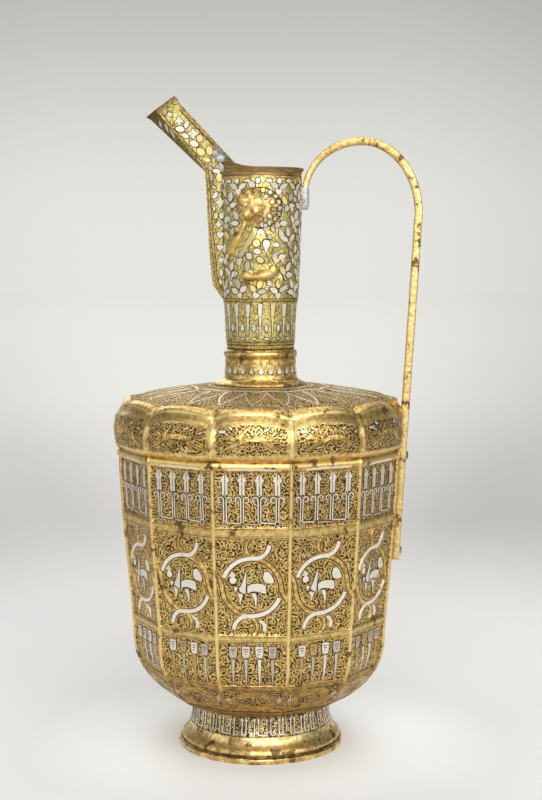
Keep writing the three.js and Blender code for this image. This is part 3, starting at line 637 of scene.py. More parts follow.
def facet_out(across, level, bead=1.0):
    radius = rib_radius(level)
    from_rib = max(radius * math.sin(HALF) - abs(across), 0.0)
    ground = GROUND_DEPTH * sunk(level)
    if level < HEM[0]:
        bead *= ease((level - 34.0) / (HEM[0] - 34.0)) * 0.7 + 0.3
    if from_rib < BEAD_HALF:
        drop = BEAD_RISE * (1 - math.sqrt(1 - (from_rib / BEAD_HALF) ** 2)) * bead
    else:
        drop = BEAD_RISE * bead + ground * ease((from_rib - BEAD_HALF) / BEAD_FLANK)
    if level > MOULD[0]:
        share = (level - MOULD[0]) / (MOULD[1] - MOULD[0])
        drop -= 1.3 * math.sin(math.pi * min(share, 1.0)) ** 0.7 - 0.2
    return radius * math.cos(HALF) - drop


def facet_surface(across, level, lift):
    """A place on the panel ground of the facet that faces +X, lifted along its outward direction."""
    here = rib_radius(level) * math.cos(HALF) - BEAD_RISE - GROUND_DEPTH * sunk(level)
    slope = (rib_radius(level + 0.5) - rib_radius(level - 0.5)) * math.cos(HALF)
    length = math.hypot(1.0, slope)
    return (here + lift / length, across, level - lift * slope / length)


# %% Body wedge
RIB_STEPS = (0.0, 0.45, 0.85, 1.1, 1.3, 1.5, 1.75, 2.1)


def wedge_rows():
    rows = []
    for low, high in ((BODY_LOW, HEM[0]), HEM, PANELS[0], LOWER_BORDER, PANELS[1], UPPER_BORDER, PANELS[2],
                      MOULD):
        edges = (0.0, 0.3, 0.62)
        count = max(int((high - low) / (2.4 if low < MOULD[0] else 0.6)), 2)
        inner = np.linspace(low + 1.2, high - 1.2, count)
        rows += [low + e for e in edges] + list(inner) + [high - e for e in reversed(edges)]
    return sorted(set(round(float(row), 3) for row in rows))


def body_wedge():
    points, ground, uv = [], [], []
    middle = np.linspace(-1, 1, 9)[1:-1]

    def add_row(level, radius, outs, marks):
        half = radius * math.sin(HALF)
        left = [-(half - d) for d in RIB_STEPS]
        spread = [m * (half - RIB_STEPS[-1]) for m in middle]
        right = [half - d for d in reversed(RIB_STEPS)]
        for across in left + spread + right:
            points.append((outs(across), across, level))
            ground.append(marks(across, half))
            uv.append((across / MAP_SPAN, level / MAP_SPAN))
        return len(left + spread + right)

    plain = lambda across, half: 0.0
    flat = lambda radius: (lambda across: radius * math.cos(HALF))
    add_row(BODY_LOW, BASE_HOLE, flat(BASE_HOLE), plain)
    for level in wedge_rows():
        radius = rib_radius(level)
        cut = sunk(level)
        ovals = 1.0 if 36.8 < level < HEM[0] - 0.3 else 0.0
        add_row(level, radius, lambda across: facet_out(across, level),
                lambda across, half: max(cut, ovals) * ease((half - abs(across) - 1.0) / 0.7))
    inner = [BODY_LOW + BODY_HEIGHT * s for s in (1, 0.95, 0.75, 0.357, 0.278, 0.2, 0.14, 0.09, 0.05, 0.02)]
    for level in inner:
        radius = rib_radius(level) - WALL
        add_row(level, radius, flat(radius), plain)
    add_row(BODY_LOW + 1.3, UNDER_RADIUS - 1.3, flat(UNDER_RADIUS - 1.3), plain)
    columns = add_row(BODY_LOW + 1.3, BASE_HOLE, flat(BASE_HOLE), plain)
    return new_piece("chased_body", points, grid_faces(points, columns), uv=uv, wobble=False, ground=ground)


# %% [markdown]
# The strap's inner face touches the borders of the facet under the handle. Whatever stands further out
# there is pressed back behind the strap, as the smith would have filed a seat for it.

# %% Seat behind the strap


def plane_out(level):
    return rib_radius(level) * math.cos(HALF) - BEAD_RISE


SEAT_LOW = BODY_LOW + BODY_HEIGHT * 0.7505
SEAT_HIGH = BODY_LOW + BODY_HEIGHT * 0.95


def seat_out(level):
    slope = (plane_out(SEAT_HIGH) - plane_out(SEAT_LOW)) / (SEAT_HIGH - SEAT_LOW)
    return plane_out(SEAT_LOW) + 0.3 + slope * (level - SEAT_LOW)


SEAT_HALF = 0.0048
SEAT_FOOT = 0.112


def press_seat(piece):
    for vertex in piece.data.vertices:
        place = vertex.co
        if place.x > AXIS + 0.07 and abs(place.y) < SEAT_HALF and place.z > SEAT_FOOT:
            limit = AXIS + (seat_out(place.z / MM) - 0.15) * MM
            place.x = min(place.x, limit)


def facet_side(angle):
    """Angle from the middle of the facet or lobe."""
    return (angle + HALF) % (2 * HALF) - HALF


def body_wear_and_shading(radius, angle, level):
    across = abs(radius * math.sin(facet_side(angle)))
    from_rib = max(rib_radius(level) * math.sin(HALF) - across, 0.0)
    # Painted shade: the bowl is browned more and more towards the bottom.
    grime_and_shade = 1.25 * ease((66.0 - level) / 24.0)
    # Painted shade in the creases at the borders' edges, under the lobes and where the ribs meet them.
    for edge in (*HEM, *LOWER_BORDER, *UPPER_BORDER, MOULD[0]):
        grime_and_shade += 0.12 * near(level, edge, 1.4)
    grime_and_shade += 0.4 * near(level, MOULD[1] + 0.4, 1.6)
    grime_and_shade += 0.4 * near(from_rib, 0.0, 4.0) * near(level, 181.0, 5.0)
    # Painted highlight, partly rubbed wear: along the rib beads, the middles of the borders, the band under
    # the lobes and a line low on the bowl.
    rub_and_highlight = 1.0 * near(from_rib, 0.0, 2.0) * ease((level - 46.0) / 20.0)
    for low, high in (LOWER_BORDER, UPPER_BORDER):
        rub_and_highlight = max(rub_and_highlight, 0.55 * near(level, (low + high) / 2, (high - low) / 2))
    return grime_and_shade, max(rub_and_highlight, 0.9 * near(level, 182.4, 2.4), 0.4 * near(level, 34.6, 1.4))


body = round_about(body_wedge(), chased, weld=0.00002)
tidy_normals(body)
press_seat(body)
store_wear_and_shading(body, body_wear_and_shading)
finish_piece(body, ["body_shell"])

# %% [markdown]
# Each lobe of the shoulder swells out from two straight creases and ends in an arched edge, and the low
# dome runs in from there to the collar. Stations up the lobe give its radius at the crease and at the
# middle. A smooth curve through them gives as many rows as the sheet needs.

# %% Shoulder profile
LOBE_LOW = 182.0
LOBE_HEIGHT = 29.0
DOME_LOW = LOBE_LOW + LOBE_HEIGHT
DOME_HEIGHT = 11.0
DOME_TOP = LOBE_LOW + LOBE_HEIGHT + DOME_HEIGHT
DOME_EDGE = 79.0
ARCH = 4.2
LOBE_TABLE = [(0.0, 0.966, 0.948, 0.0), (0.075, 0.979, 0.964, 0.0), (0.14, 0.994, 0.992, 0.0),
              (0.25, 1.008, 1.022, 0.0), (0.47, 1.014, 1.0375, 0.12), (0.66, 1.004, 1.026, 0.4),
              (0.74, 0.99, 1.008, 0.62), (0.80, 0.975, 0.985, 0.8), (0.86, 0.961, 0.967, 0.92),
              (0.90, 0.953, 0.960, 0.98), (0.93, 0.950, 0.959, 1.0), (0.955, 0.943, 0.95, 1.0)]
DOME_TABLE = [(0.35, 0.869), (0.66, 0.706), (0.9, 0.46)]
COLLAR_FOOT = 28.0


def smooth_rows(table, steps):
    """Catmull-Rom rows through the stations of a table."""
    table = np.asarray(table, float)
    padded = np.vstack([2 * table[0] - table[1], table, 2 * table[-1] - table[-2]])
    rows = []
    for i in range(1, len(padded) - 2):
        before, start, end, after = padded[i - 1:i + 3]
        for step in range(steps):
            t = step / steps
            rows.append(0.5 * (2 * start + (end - before) * t
                               + (2 * before - 5 * start + 4 * end - after) * t ** 2
                               + (3 * start - before - 3 * end + after) * t ** 3))
    rows.append(table[-1])
    return np.array(rows)


LOBE_ROWS = smooth_rows([(LOBE_LOW + LOBE_HEIGHT * up, BODY_RADIUS * rib, BODY_RADIUS * mid, ARCH * arch)
                         for up, rib, mid, arch in LOBE_TABLE], 5)
DOME_ROWS = smooth_rows([(LOBE_LOW + LOBE_HEIGHT * 0.955, BODY_RADIUS * 0.945)]
                        + [(DOME_LOW + DOME_HEIGHT * up, BODY_RADIUS * out) for up, out in DOME_TABLE]
                        + [(DOME_TOP, COLLAR_FOOT)], 8)


def swelling(share):
    """How far the sheet swells between two creases: 0 at a crease and 1 in the middle."""
    return math.cos(share * math.pi / 2) ** 0.62 if abs(share) < 1 else 0.0


def lobe_place(share, row):
    level, rib, middle, arch = row
    chord = rib * math.cos(HALF)
    swell = swelling(share)
    return chord + (middle - chord) * swell, rib * math.sin(HALF) * share, level + arch * swell


def lobe_frame(across, level):
    """Place and outward direction on the lobe that faces +X."""
    share = max(-0.98, min(0.98, across / (BODY_RADIUS * 1.01 * math.sin(HALF))))
    track = np.array([lobe_place(share, row) for row in LOBE_ROWS])
    out = float(np.interp(level, track[:, 2], track[:, 0]))
    rise = float(np.interp(level + 0.8, track[:, 2], track[:, 0])) - float(
        np.interp(level - 0.8, track[:, 2], track[:, 0]))
    other = max(-0.98, min(0.98, share + 0.03))
    side_track = np.array([lobe_place(other, row) for row in LOBE_ROWS])
    side_out = float(np.interp(level, side_track[:, 2], side_track[:, 0]))
    gap = (other - share) * BODY_RADIUS * math.sin(HALF) or 1.0
    normal = Vector((1.0, -(side_out - out) / gap, -rise / 1.6)).normalized()
    return out, normal


PANEL_LOW = 188.9
PANEL_TOP = 202.9
PANEL_ARCH = 3.4
PANEL_FRAME = 2.3
PANEL_DEPTH = 0.6


def lobe_panel(across, level):
    """1 inside the engraved panel of a lobe, 0 on its gold frame."""
    half = BODY_RADIUS * math.sin(HALF) - PANEL_FRAME
    arch = PANEL_ARCH * math.cos(min(abs(across) / 21.5, 1.0) * math.pi / 2)
    inside = min(half - abs(across), level - PANEL_LOW, PANEL_TOP + arch - level)
    return ease((inside + 0.5) / 1.0)


def lobe_surface(across, level, lift):
    out, normal = lobe_frame(across, level)
    proud = lift - 0.55 * lobe_panel(across, level)
    return (out + normal.x * proud, across + normal.y * proud, level + normal.z * proud)


# %% Shoulder wedge
RIDGE = 1.5
SKIRT = 6
NECK_HOLE = 20.4


def ridge_growth(from_crease, swell, level):
    """How far a rounded ridge stands over the sheet, along the radius through the crease."""
    beside = from_crease * math.cos(HALF)
    if beside >= RIDGE:
        return 0.0
    high = RIDGE * ease((209.5 - level) / 4) * (0.4 + 0.6 * ease((level - 182.0) / 5))
    ridge = high - RIDGE + math.sqrt(RIDGE ** 2 - beside ** 2) + from_crease * math.sin(HALF)
    joined = math.log(math.exp(3 * ridge) + math.exp(3 * swell)) / 3
    return (joined - swell) * ease((RIDGE - beside) / 0.3)


def shoulder_wedge():
    shares = [-1.0, -0.985, -0.965, -0.94, -0.91, -0.88, -0.85, -0.82]
    shares = shares + list(np.linspace(-0.76, 0.76, 17)) + [-s for s in reversed(shares)]
    points, ground, uv = [], [], []

    def add_row(places, marks):
        for (out, across, level), mark in zip(places, marks):
            points.append((out, across, level))
            ground.append(mark)
            uv.append((across / MAP_SPAN, level / MAP_SPAN))

    def ring(radius, level, swollen=True):
        row = (level, radius, radius if swollen else radius * math.cos(HALF), 0.0)
        return [lobe_place(share, row) for share in shares]

    skirt = BODY_RADIUS - 2.9
    bare = [0] * len(shares)
    add_row(ring(skirt, LOBE_LOW - SKIRT, False), bare)
    add_row(ring(skirt, LOBE_LOW, False), bare)
    for row in LOBE_ROWS:
        places, marks = [], []
        for share in shares:
            out, across, level = lobe_place(share, row)
            half = row[1] * math.sin(HALF)
            from_crease = half - abs(across)
            panel = lobe_panel(across, level)
            out -= PANEL_DEPTH * panel
            grow = ridge_growth(from_crease, out - row[1] * math.cos(HALF), level)
            sideways = math.copysign(grow * math.sin(HALF), across)
            places.append((out + grow * math.cos(HALF), across + sideways, level))
            marks.append(panel)
        add_row(places, marks)
    top_arch = LOBE_ROWS[-1][3]
    for i, (level, radius) in enumerate(DOME_ROWS[1:]):
        arch = top_arch * (1 - ease((i + 1) / 9))
        places = [lobe_place(share, (level, radius, radius, arch)) for share in shares]
        for out, across, up in places:
            points.append((out, across, up))
            ground.append(ease((i - 1) / 3))
            uv.append((across / MAP_SPAN, (radius + 100) / MAP_SPAN))
    add_row(ring(NECK_HOLE, DOME_TOP), bare)
    add_row(ring(NECK_HOLE, DOME_TOP - 1.3), bare)
    for up, radius in reversed(DOME_TABLE):
        add_row(ring(radius * BODY_RADIUS, DOME_LOW + DOME_HEIGHT * up - 1.5), bare)
    for up, rib, mid, arch in reversed(LOBE_TABLE[1:]):
        level = LOBE_LOW + LOBE_HEIGHT * up - 1.5 * up
        row = (level, BODY_RADIUS * rib - WALL, BODY_RADIUS * mid - WALL, ARCH * arch)
        add_row([lobe_place(share, row) for share in shares], bare)
    add_row(ring(skirt - 1.3, LOBE_LOW, False), bare)
    add_row(ring(skirt - 1.3, LOBE_LOW - SKIRT, False), bare)
    faces = grid_faces(points, len(shares))
    return new_piece("lobed_shoulder", points, faces, uv=uv, wobble=False, ground=ground)


def shoulder_wear_and_shading(radius, angle, level):
    side = facet_side(angle)
    from_crease = radius * (math.sin(HALF) - abs(math.sin(side)))
    below = 208.9 + ARCH * swelling(side / HALF) - level
    # Brown, partly dirt and partly painted shade: in the cove under the lip, along the lobes' feet, low in
    # the creases and at the dome's edge.
    grime_and_shade = 0.45 * near(below, 3.4, 1.5) + 0.5 * ease((187.4 - level) / 2.0) + 0.2 * near(level, 188.6, 1.2)
    grime_and_shade += 0.6 * near(from_crease, 0.0, 5.0) * ease((189.5 - level) / 4.0)
    grime_and_shade += 0.12 * near(from_crease, 2.2, 1.2)
    if below < -0.3:
        return 0.3 * near(radius, DOME_EDGE, 5.0), 0.0
    # Painted highlight, partly rubbed wear: along the lip, a second line above the panel, the lobes' foot
    # and the ridges between the lobes.
    rub_and_highlight = max(0.9 * near(below, 1.0, 1.4), 0.7 * near(below, 5.6, 1.3), 0.5 * near(level, 187.2, 1.2))
    return grime_and_shade, max(rub_and_highlight, 1.0 * near(from_crease, 0.2, 1.5) * ease((level - 184.0) / 3.0))


shoulder = round_about(shoulder_wedge(), chased, weld=0.00002)
tidy_normals(shoulder)
press_seat(shoulder)
store_wear_and_shading(shoulder, shoulder_wear_and_shading)
shoulder.data.materials.append(dome_brass)
for face in shoulder.data.polygons:
    middle = face.center
    reach = math.hypot(middle.x - AXIS, middle.y) / MM
    if reach < DOME_EDGE and middle.z > 0.209:
        face.material_index = len(shoulder.data.materials) - 1
finish_piece(shoulder, ["shoulder_shell"])

# %% [markdown]
# The foot, its rim ring and the collar are turned shapes: one profile carried round the axis. A small
# lathe in Geometry Nodes does that. It bends a grid, whose one direction goes round and whose other
# direction reads the profile's points in order.

# %% Geometry Nodes: lathe


def lathe_tree():
    tree, group_in, group_out = geometry_tree("lathe", [
        ("Steps", "NodeSocketInt"), ("Axis X", FLOAT), ("Material", "NodeSocketMaterial")])
    size = add_node(tree, "GeometryNodeAttributeDomainSize", Geometry=group_in.outputs["Geometry"])
    columns = total(tree, group_in.outputs["Steps"], 1.0)
    grid = add_node(tree, "GeometryNodeMeshGrid", Size_X=1.0, Size_Y=1.0, Vertices_X=columns,
                    Vertices_Y=size.outputs["Point Count"])
    uv = add_node(tree, "ShaderNodeSeparateXYZ", Vector=grid.outputs["UV Map"])
    last = minus(tree, size.outputs["Point Count"], 1.0)
    number = maths(tree, "ROUND", product(tree, uv.outputs["Y"], last))
    place = tree.nodes.new("GeometryNodeInputPosition").outputs[0]
    profile = add_node(tree, "GeometryNodeSampleIndex", {"data_type": "FLOAT_VECTOR"},
                       Geometry=group_in.outputs["Geometry"], Value=place, Index=number)
    parts = add_node(tree, "ShaderNodeSeparateXYZ", Vector=profile.outputs[0])
    radius = minus(tree, parts.outputs["X"], group_in.outputs["Axis X"])
    angle = product(tree, uv.outputs["X"], 2 * math.pi)
    x = total(tree, product(tree, radius, maths(tree, "COSINE", angle)),
              group_in.outputs["Axis X"])
    y = product(tree, radius, maths(tree, "SINE", angle))
    there = add_node(tree, "ShaderNodeCombineXYZ", X=x, Y=y, Z=parts.outputs["Z"])
    bent = add_node(tree, "GeometryNodeSetPosition", Geometry=grid.outputs["Mesh"],
                    Position=there.outputs[0])
    end_tree(tree, bent.outputs[0], group_in, group_out, weld=0.000004)
    return tree


lathe = lathe_tree()


def turned(name, profile, material, steps=144):
    closed = list(profile) + [profile[0]]
    piece = new_piece(name, [(radius, 0.0, level) for radius, level in closed], [], wobble=False)
    run_tree(piece, lathe, {"Steps": steps, "Axis X": AXIS, "Material": material})
    tidy_normals(piece)
    wobble_mesh(piece)
    return piece


def smooth_line(table, steps=4):
    return [tuple(row) for row in smooth_rows(table, steps)]


# %% Foot and rim ring
FOOT_SIDE = smooth_line([(49.85, 4.0), (49.2, 4.5), (48.4, 7.18), (44.75, 11.26), (42.78, 17.6),
                         (41.96, 22.2), (42.1, 24.8), (42.5, 26.7)], 5)


def dent(piece, size, depth):
    """Moves the outer skin inwards by slow noise, as blows and wear leave it."""
    for vertex in piece.data.vertices:
        out = Vector((vertex.co.x - AXIS, vertex.co.y, 0.0))
        shift = noise.noise(vertex.co / (size * MM)) * depth * MM
        vertex.co += out.normalized() * min(shift, 0.0)


def map_round(piece, reach):
    """Lays a map of millimetres round and up over a turned piece."""
    layer = piece.data.uv_layers.new(name="panel")
    places = [vertex.co for vertex in piece.data.vertices]
    for face in piece.data.polygons:
        turns = [math.atan2(places[i].y, places[i].x - AXIS) for i in face.vertices]
        for loop, turn, i in zip(face.loop_indices, turns, face.vertices):
            turn += 2 * math.pi if max(turns) - turn > math.pi else 0.0
            layer.data[loop].uv = (turn * reach / MAP_SPAN, places[i].z / MM / MAP_SPAN)


def foot_wear_and_highlight(radius, angle, level):
    # Dark at the seam and mottled on the flare, as dirt; the rubbed share is a painted highlight, partly
    # wear, across the middle of the flare.
    grime_and_shade = 1.0 * near(level, 4.6, 1.7) + 0.12 * near(level, 9.0, 4.5) + 0.6 * ease((level - 24.5) / 3.0)
    return grime_and_shade + 0.3 * near(level, 7.5, 6.5), 0.5 * near(level, 9.6, 4.6)


def rim_wear(radius, angle, level):
    return near(level, 4.2, 1.5) + 0.35 + 0.3 * math.sin(angle * 23), 0.5 * near(radius, 50.4, 1.0)


def collar_wear_and_shading(radius, angle, level):
    # Brown in the groove under the bead and at the collar's top and foot, partly dirt and joints and partly
    # painted shade; a painted highlight, partly rubbed wear, runs along the bead.
    grime_and_shade = 0.55 * near(level, 238.2, 1.4) + 0.5 * near(level, 243.6, 1.0) + 0.45 * near(level, 223.2, 1.6)
    return grime_and_shade, 0.4 * near(radius, 22.4, 0.6)


FOOT_REACH = 44.0
foot = turned("flared_foot", FOOT_SIDE + [(41.8, 26.8), (35.8, 26.8), (35.8, 25.2), (40.3, 25.2),
              (40.4, 20.0), (42.4, 13.0), (46.2, 8.0), (48.2, 4.2)], foot_brass, steps=168)
dent(foot, 13.0, 0.5)
map_round(foot, FOOT_REACH)
store_wear_and_shading(foot, foot_wear_and_highlight)
store(foot, "ground", [ease((level - 14.2) / 0.8) * ease((27.6 - level) / 0.8)
                       for level in places_of(foot)[:, 2]])
finish_piece(foot, ["foot"])

RING_RADIUS = 48.5
RING_HALF = (1.9, 1.85)
RING_SIDES = 20


def squared(wave, power):
    """A sine or cosine made boxier, so that a circle becomes a rounded square."""
    return math.copysign(abs(wave) ** power, wave)


ring_section = []
for i in range(RING_SIDES):
    turn = 2 * math.pi * i / RING_SIDES
    ring_section.append((RING_RADIUS + RING_HALF[0] * squared(math.cos(turn), 0.7),
                         RING_HALF[1] + RING_HALF[1] * squared(math.sin(turn), 0.75)))
ring = turned("foot_rim", ring_section, foot_brass, steps=168)
dent(ring, 4.5, 1.0)
store_wear_and_shading(ring, rim_wear)
finish_piece(ring, ["foot_rim_ring"])

# %% Collar
COLLAR_LOW = 222.3
COLLAR_TOP = 243.5
COLLAR_INSIDE = 20.1
COLLAR_SIDE = smooth_line([(28.0, 0.0), (26.64, 1.27), (23.24, 2.97), (21.95, 5.2), (21.7, 7.4),
                           (21.25, 15.2), (21.4, 16.2), (22.1, 17.2), (22.4, 18.6), (22.1, 19.8),
                           (21.3, 20.9), (20.9, 21.2)], 4)
collar = turned("neck_collar", [(radius, COLLAR_LOW + up) for radius, up in COLLAR_SIDE]
                + [(COLLAR_INSIDE, COLLAR_TOP), (COLLAR_INSIDE, COLLAR_LOW)], frame_gold)
store_wear_and_shading(collar, collar_wear_and_shading)
finish_piece(collar, ["collar"])

# %% [markdown]
# The neck is one sheet too, and a lion is raised out of it on each side. The wall is a fine grid round
# the axis, and the relief is a height added to it: smooth lumps for face, mane, chest, legs and paw,
# then small forms on the face. A plain tube with the lion as a separate piece would show a seam that
# the real sheet doesn't have.

# %% Neck profile
NECK_LOW = COLLAR_TOP
NECK_HEIGHT = 108.5
NECK_STATIONS = [0, 0.097, 0.226, 0.318, 0.493, 0.797, 1.0]
NECK_STEPS = [0, 0.2, 0.36, 0.58, 0.82, 1, 1]
TUBE_FOOT = 20.3
TUBE_TOP = 24.8
INNER_RADIUS = 19.9


def neck_radius(level):
    share = np.interp((level - NECK_LOW) / NECK_HEIGHT, NECK_STATIONS, NECK_STEPS)
    return TUBE_FOOT + (TUBE_TOP - TUBE_FOOT) * float(share)


# %% Lion relief
# Each lump: place to the right and level, half sizes along and across, height, turn in degrees
LION_LUMPS = [
    (0.8, 328.0, 14.0, 11.8, 2.5, 0), (-3.9, 330.2, 8.4, 9.2, 5.0, 18), (-8.0, 331.6, 4.6, 4.8, 5.5, 0),
    (-6.6, 323.8, 4.6, 4.0, 5.8, 0), (-1.0, 325.6, 4.2, 4.0, 5.3, 0), (-1.2, 335.4, 4.0, 3.0, 4.8, -20),
    (-8.8, 316.0, 1.9, 6.6, 3.2, -24), (-14.0, 307.4, 2.8, 7.4, 3.8, -37),
    (-17.2, 303.2, 3.7, 3.0, 3.5, -37),
    (1.0, 304.0, 9.6, 9.0, 1.0, 0), (-0.6, 287.4, 11.0, 1.9, 3.1, 4),
    (4.6, 288.4, 6.6, 3.3, 3.6, 10), (-7.4, 288.2, 3.6, 2.5, 3.7, 0), (9.6, 291.4, 3.2, 3.4, 2.2, 30),
    (15.6, 285.4, 2.4, 2.8, 1.6, 0),
]
MANE = (0.8, 328.0)
MANE_HALF = (14.0, 11.8)
LION_HOLLOWS = [(-10.6, 329.0, 1.2, 0.9, 1.0), (-5.4, 330.2, 1.3, 0.9, 1.0), (-7.4, 320.9, 3.0, 0.7, 0.9),
                (-0.6, 332.6, 1.0, 1.4, 0.7), (-3.0, 336.4, 1.6, 0.7, 0.6)]


def lion_height(right, level):
    height = 0.0
    for x, z, wide, high, proud, tilt in LION_LUMPS:
        turn = math.radians(tilt)
        dx, dz = right - x, level - z
        u = (dx * math.cos(turn) + dz * math.sin(turn)) / wide
        v = (-dx * math.sin(turn) + dz * math.cos(turn)) / high
        inside = 1 - u * u - v * v
        if inside > 0:
            lump = proud * inside ** 0.5
            height = math.log(math.exp(2.2 * height) + math.exp(2.2 * lump) - 1) / 2.2
    for x, z, wide, high, deep in LION_HOLLOWS:
        apart = ((right - x) / wide) ** 2 + ((level - z) / high) ** 2
        if apart < 6:
            height -= deep * math.exp(-apart)
    around = math.hypot((right - MANE[0]) / MANE_HALF[0], (level - MANE[1]) / MANE_HALF[1])
    if 0.6 < around < 0.98 and height > 0.3:
        locks = math.atan2(level - MANE[1], right - MANE[0])
        height += 0.3 * math.sin(locks * 15) * ease((around - 0.6) / 0.15)
    return max(height, 0.0)


def relief_at(angle, level):
    """Height of the relief at an angle round the neck, where -90 degrees faces the viewer."""
    if not 280 < level < 345:
        return 0.0
    side = 1 if math.sin(angle) < 0 else -1
    from_front = (angle + math.pi / 2 if side > 0 else math.pi / 2 - angle)
    from_front = (from_front + math.pi) % (2 * math.pi) - math.pi
    if abs(from_front) > 1.2:
        return 0.0
    return lion_height(from_front * TUBE_TOP, level)


def rim_lift(angle):
    to_spout = max(0.0, -math.cos(angle))
    return 3.6 * min(1.0, 2.4 * to_spout ** 2)


# %% Neck mesh
# Each row past the tube's outer face: radius, level, share of the lift towards the spout
RIM_AND_INSIDE = [
    (25.6, 350.4, 1), (26.2, 351.2, 1), (26.3, 351.6, 1), (26.1, 352.0, 1), (25.4, 352.0, 1),
    (24.2, 351.2, 1), (23.6, 349.0, 0.8), (23.6, 330.0, 0), (22.8, 297, 0), (21.6, 278, 0),
    (18.6, 243.5, 0), (18.6, 218.3, 0), (19.8, 218.3, 0), (19.8, 243.0, 0),
]


def neck_mesh():
    columns = 288
    angles = [2 * math.pi * i / columns for i in range(columns)]
    levels = list(np.arange(NECK_LOW, 280, 3.0)) + list(np.arange(280, 344, 0.62)) + [346.0, 348.0, 349.2]
    points, uv = [], []

    def add_point(angle, radius, level, lift_share):
        lifted = level + rim_lift(angle) * lift_share
        points.append((radius * math.cos(angle), radius * math.sin(angle), lifted))
        uv.append((angle * TUBE_TOP / MAP_SPAN, level / MAP_SPAN))

    for level in levels:
        share = 0.8 * ease((level - 330) / 19.2)
        for angle in angles:
            add_point(angle, neck_radius(level) + relief_at(angle, level), level, share)
    for radius, level, share in RIM_AND_INSIDE:
        for angle in angles:
            add_point(angle, radius, level, share)
    relief = [relief_at(math.atan2(y, x), level) if math.hypot(x, y) > INNER_RADIUS else 0.0
              for x, y, level in points]
    faces = grid_faces(points, columns, closed_columns=True)
    return new_piece("relief_neck", points, faces, uv=uv, relief=relief)


neck = neck_mesh()

# %% [markdown]
# The neck's ground is a yellower brass than the body, with dark lines round each leaf-shaped bed. The
# relief is plain pitted metal, and the strip under the rim is bare and brown. The point attribute of
# the relief's height keeps the lines off the lions. The spout has the same brass, browner towards its
# tip, with its mouth painted black as painted shade, painted shade on its underside and grey solder
# beside the rim.

# %% Neck finish
RIM_BAND = (346.6, 347.2)
BARE = (0.30, 0.175, 0.075, 1.0)
TINNED = (0.40, 0.37, 0.40, 1.0)
OUTLINE = (0.075, 0.062, 0.025, 1.0)
# Each grey place beside the rim: right of the axis, level, reach
TIN_SPOTS = ((-25.3, 360.9, 5.2), (-30.0, 355.4, 2.6), (-27.6, 347.0, 2.8))


def relief_look(tree, place, colour, lines):
    """The lions' pitted metal and the bare strip under the rim, both without outlines."""
    level = place_parts(tree, place)["Z"]
    relief = stored(tree, "relief")
    lines = product(tree, lines, ramp(tree, relief, 1.6, 2.0, 1.0, 0.0))
    pits = use_group(tree, stain, Place=place, Size=2.6, Amount=0.62).outputs["Mask"]
    pits = product(tree, pits, ramp(tree, level, 315.0, 320.0, 0.35, 1.0))
    worn = blend_colours(tree, pits, (0.86, 0.62, 0.25, 1.0), (0.44, 0.25, 0.085, 1.0))
    colour = blend_colours(tree, ramp(tree, relief, 1.0, 2.2, 0.0, 0.85), colour, worn)
    lines = product(tree, lines, ramp(tree, level, *RIM_BAND, 1.0, 0.0))
    streaks = add_node(tree, "ShaderNodeVectorMath", {"operation": "MULTIPLY"}, i0=place,
                       i1=(0.12, 0.12, 0.9))
    streak = noise_node(tree, streaks.outputs[0], 1.0, 4.0)
    brown = product(tree, ramp(tree, level, *RIM_BAND), ramp(tree, streak.outputs[0], 0.2, 0.62, 0.35, 1.0))
    return blend_colours(tree, brown, colour, BARE), lines


def spout_look(tree, place, colour):
    """The spout's brown tip, its mouth painted black as painted shade, painted shade on its underside, its
    border above and its grey solder.
    """
    sides = place_parts(tree, place)
    x = minus(tree, sides["X"], AXIS / MM)
    level = sides["Z"]
    out = total(tree, product(tree, x, -0.726), product(tree, level, 0.687))
    colour = blend_colours(tree, ramp(tree, out, 300.0, 309.0, 0.0, 0.75), colour, BROWN)
    # Painted shade: the mouth at the very tip is painted near black, as the inside of the opening.
    colour = blend_colours(tree, ramp(tree, out, 309.5, 311.5, 0.0, 0.9), colour, PITCH)
    # Painted shade on the spout's underside past the fold.
    past_fold = minus(tree, product(tree, total(tree, x, 50.7), -0.77),
                      product(tree, minus(tree, level, 373.9), 0.638))
    slanted = ramp(tree, level, 350.0, 353.0)
    painted_underside_shade = product(tree, ramp(tree, past_fold, 0.4, 1.0), slanted)
    colour = blend_colours(tree, product(tree, painted_underside_shade, 0.8), colour, (0.17, 0.12, 0.055, 1.0))
    over = product(tree, ramp(tree, past_fold, -11.9, -11.3, 1.0, 0.0), slanted)
    border = blend_colours(tree, ramp(tree, level, 358.0, 374.0), (0.12, 0.095, 0.045, 1.0),
                           (0.50, 0.31, 0.12, 1.0))
    colour = blend_colours(tree, product(tree, over, 0.85), colour, border)
    ragged = noise_node(tree, place, 0.5, 3.0)
    for middle_x, middle_z, reach in TIN_SPOTS:
        beside_x = product(tree, minus(tree, x, middle_x), 0.75)
        beside_z = minus(tree, level, middle_z)
        squares = total(tree, product(tree, beside_x, beside_x), product(tree, beside_z, beside_z))
        apart = total(tree, maths(tree, "SQRT", squares), product(tree, ragged.outputs[0], 4.0))
        colour = blend_colours(tree, ramp(tree, apart, reach, reach + 0.9, 0.75, 0.0), colour, TINNED)
    return colour


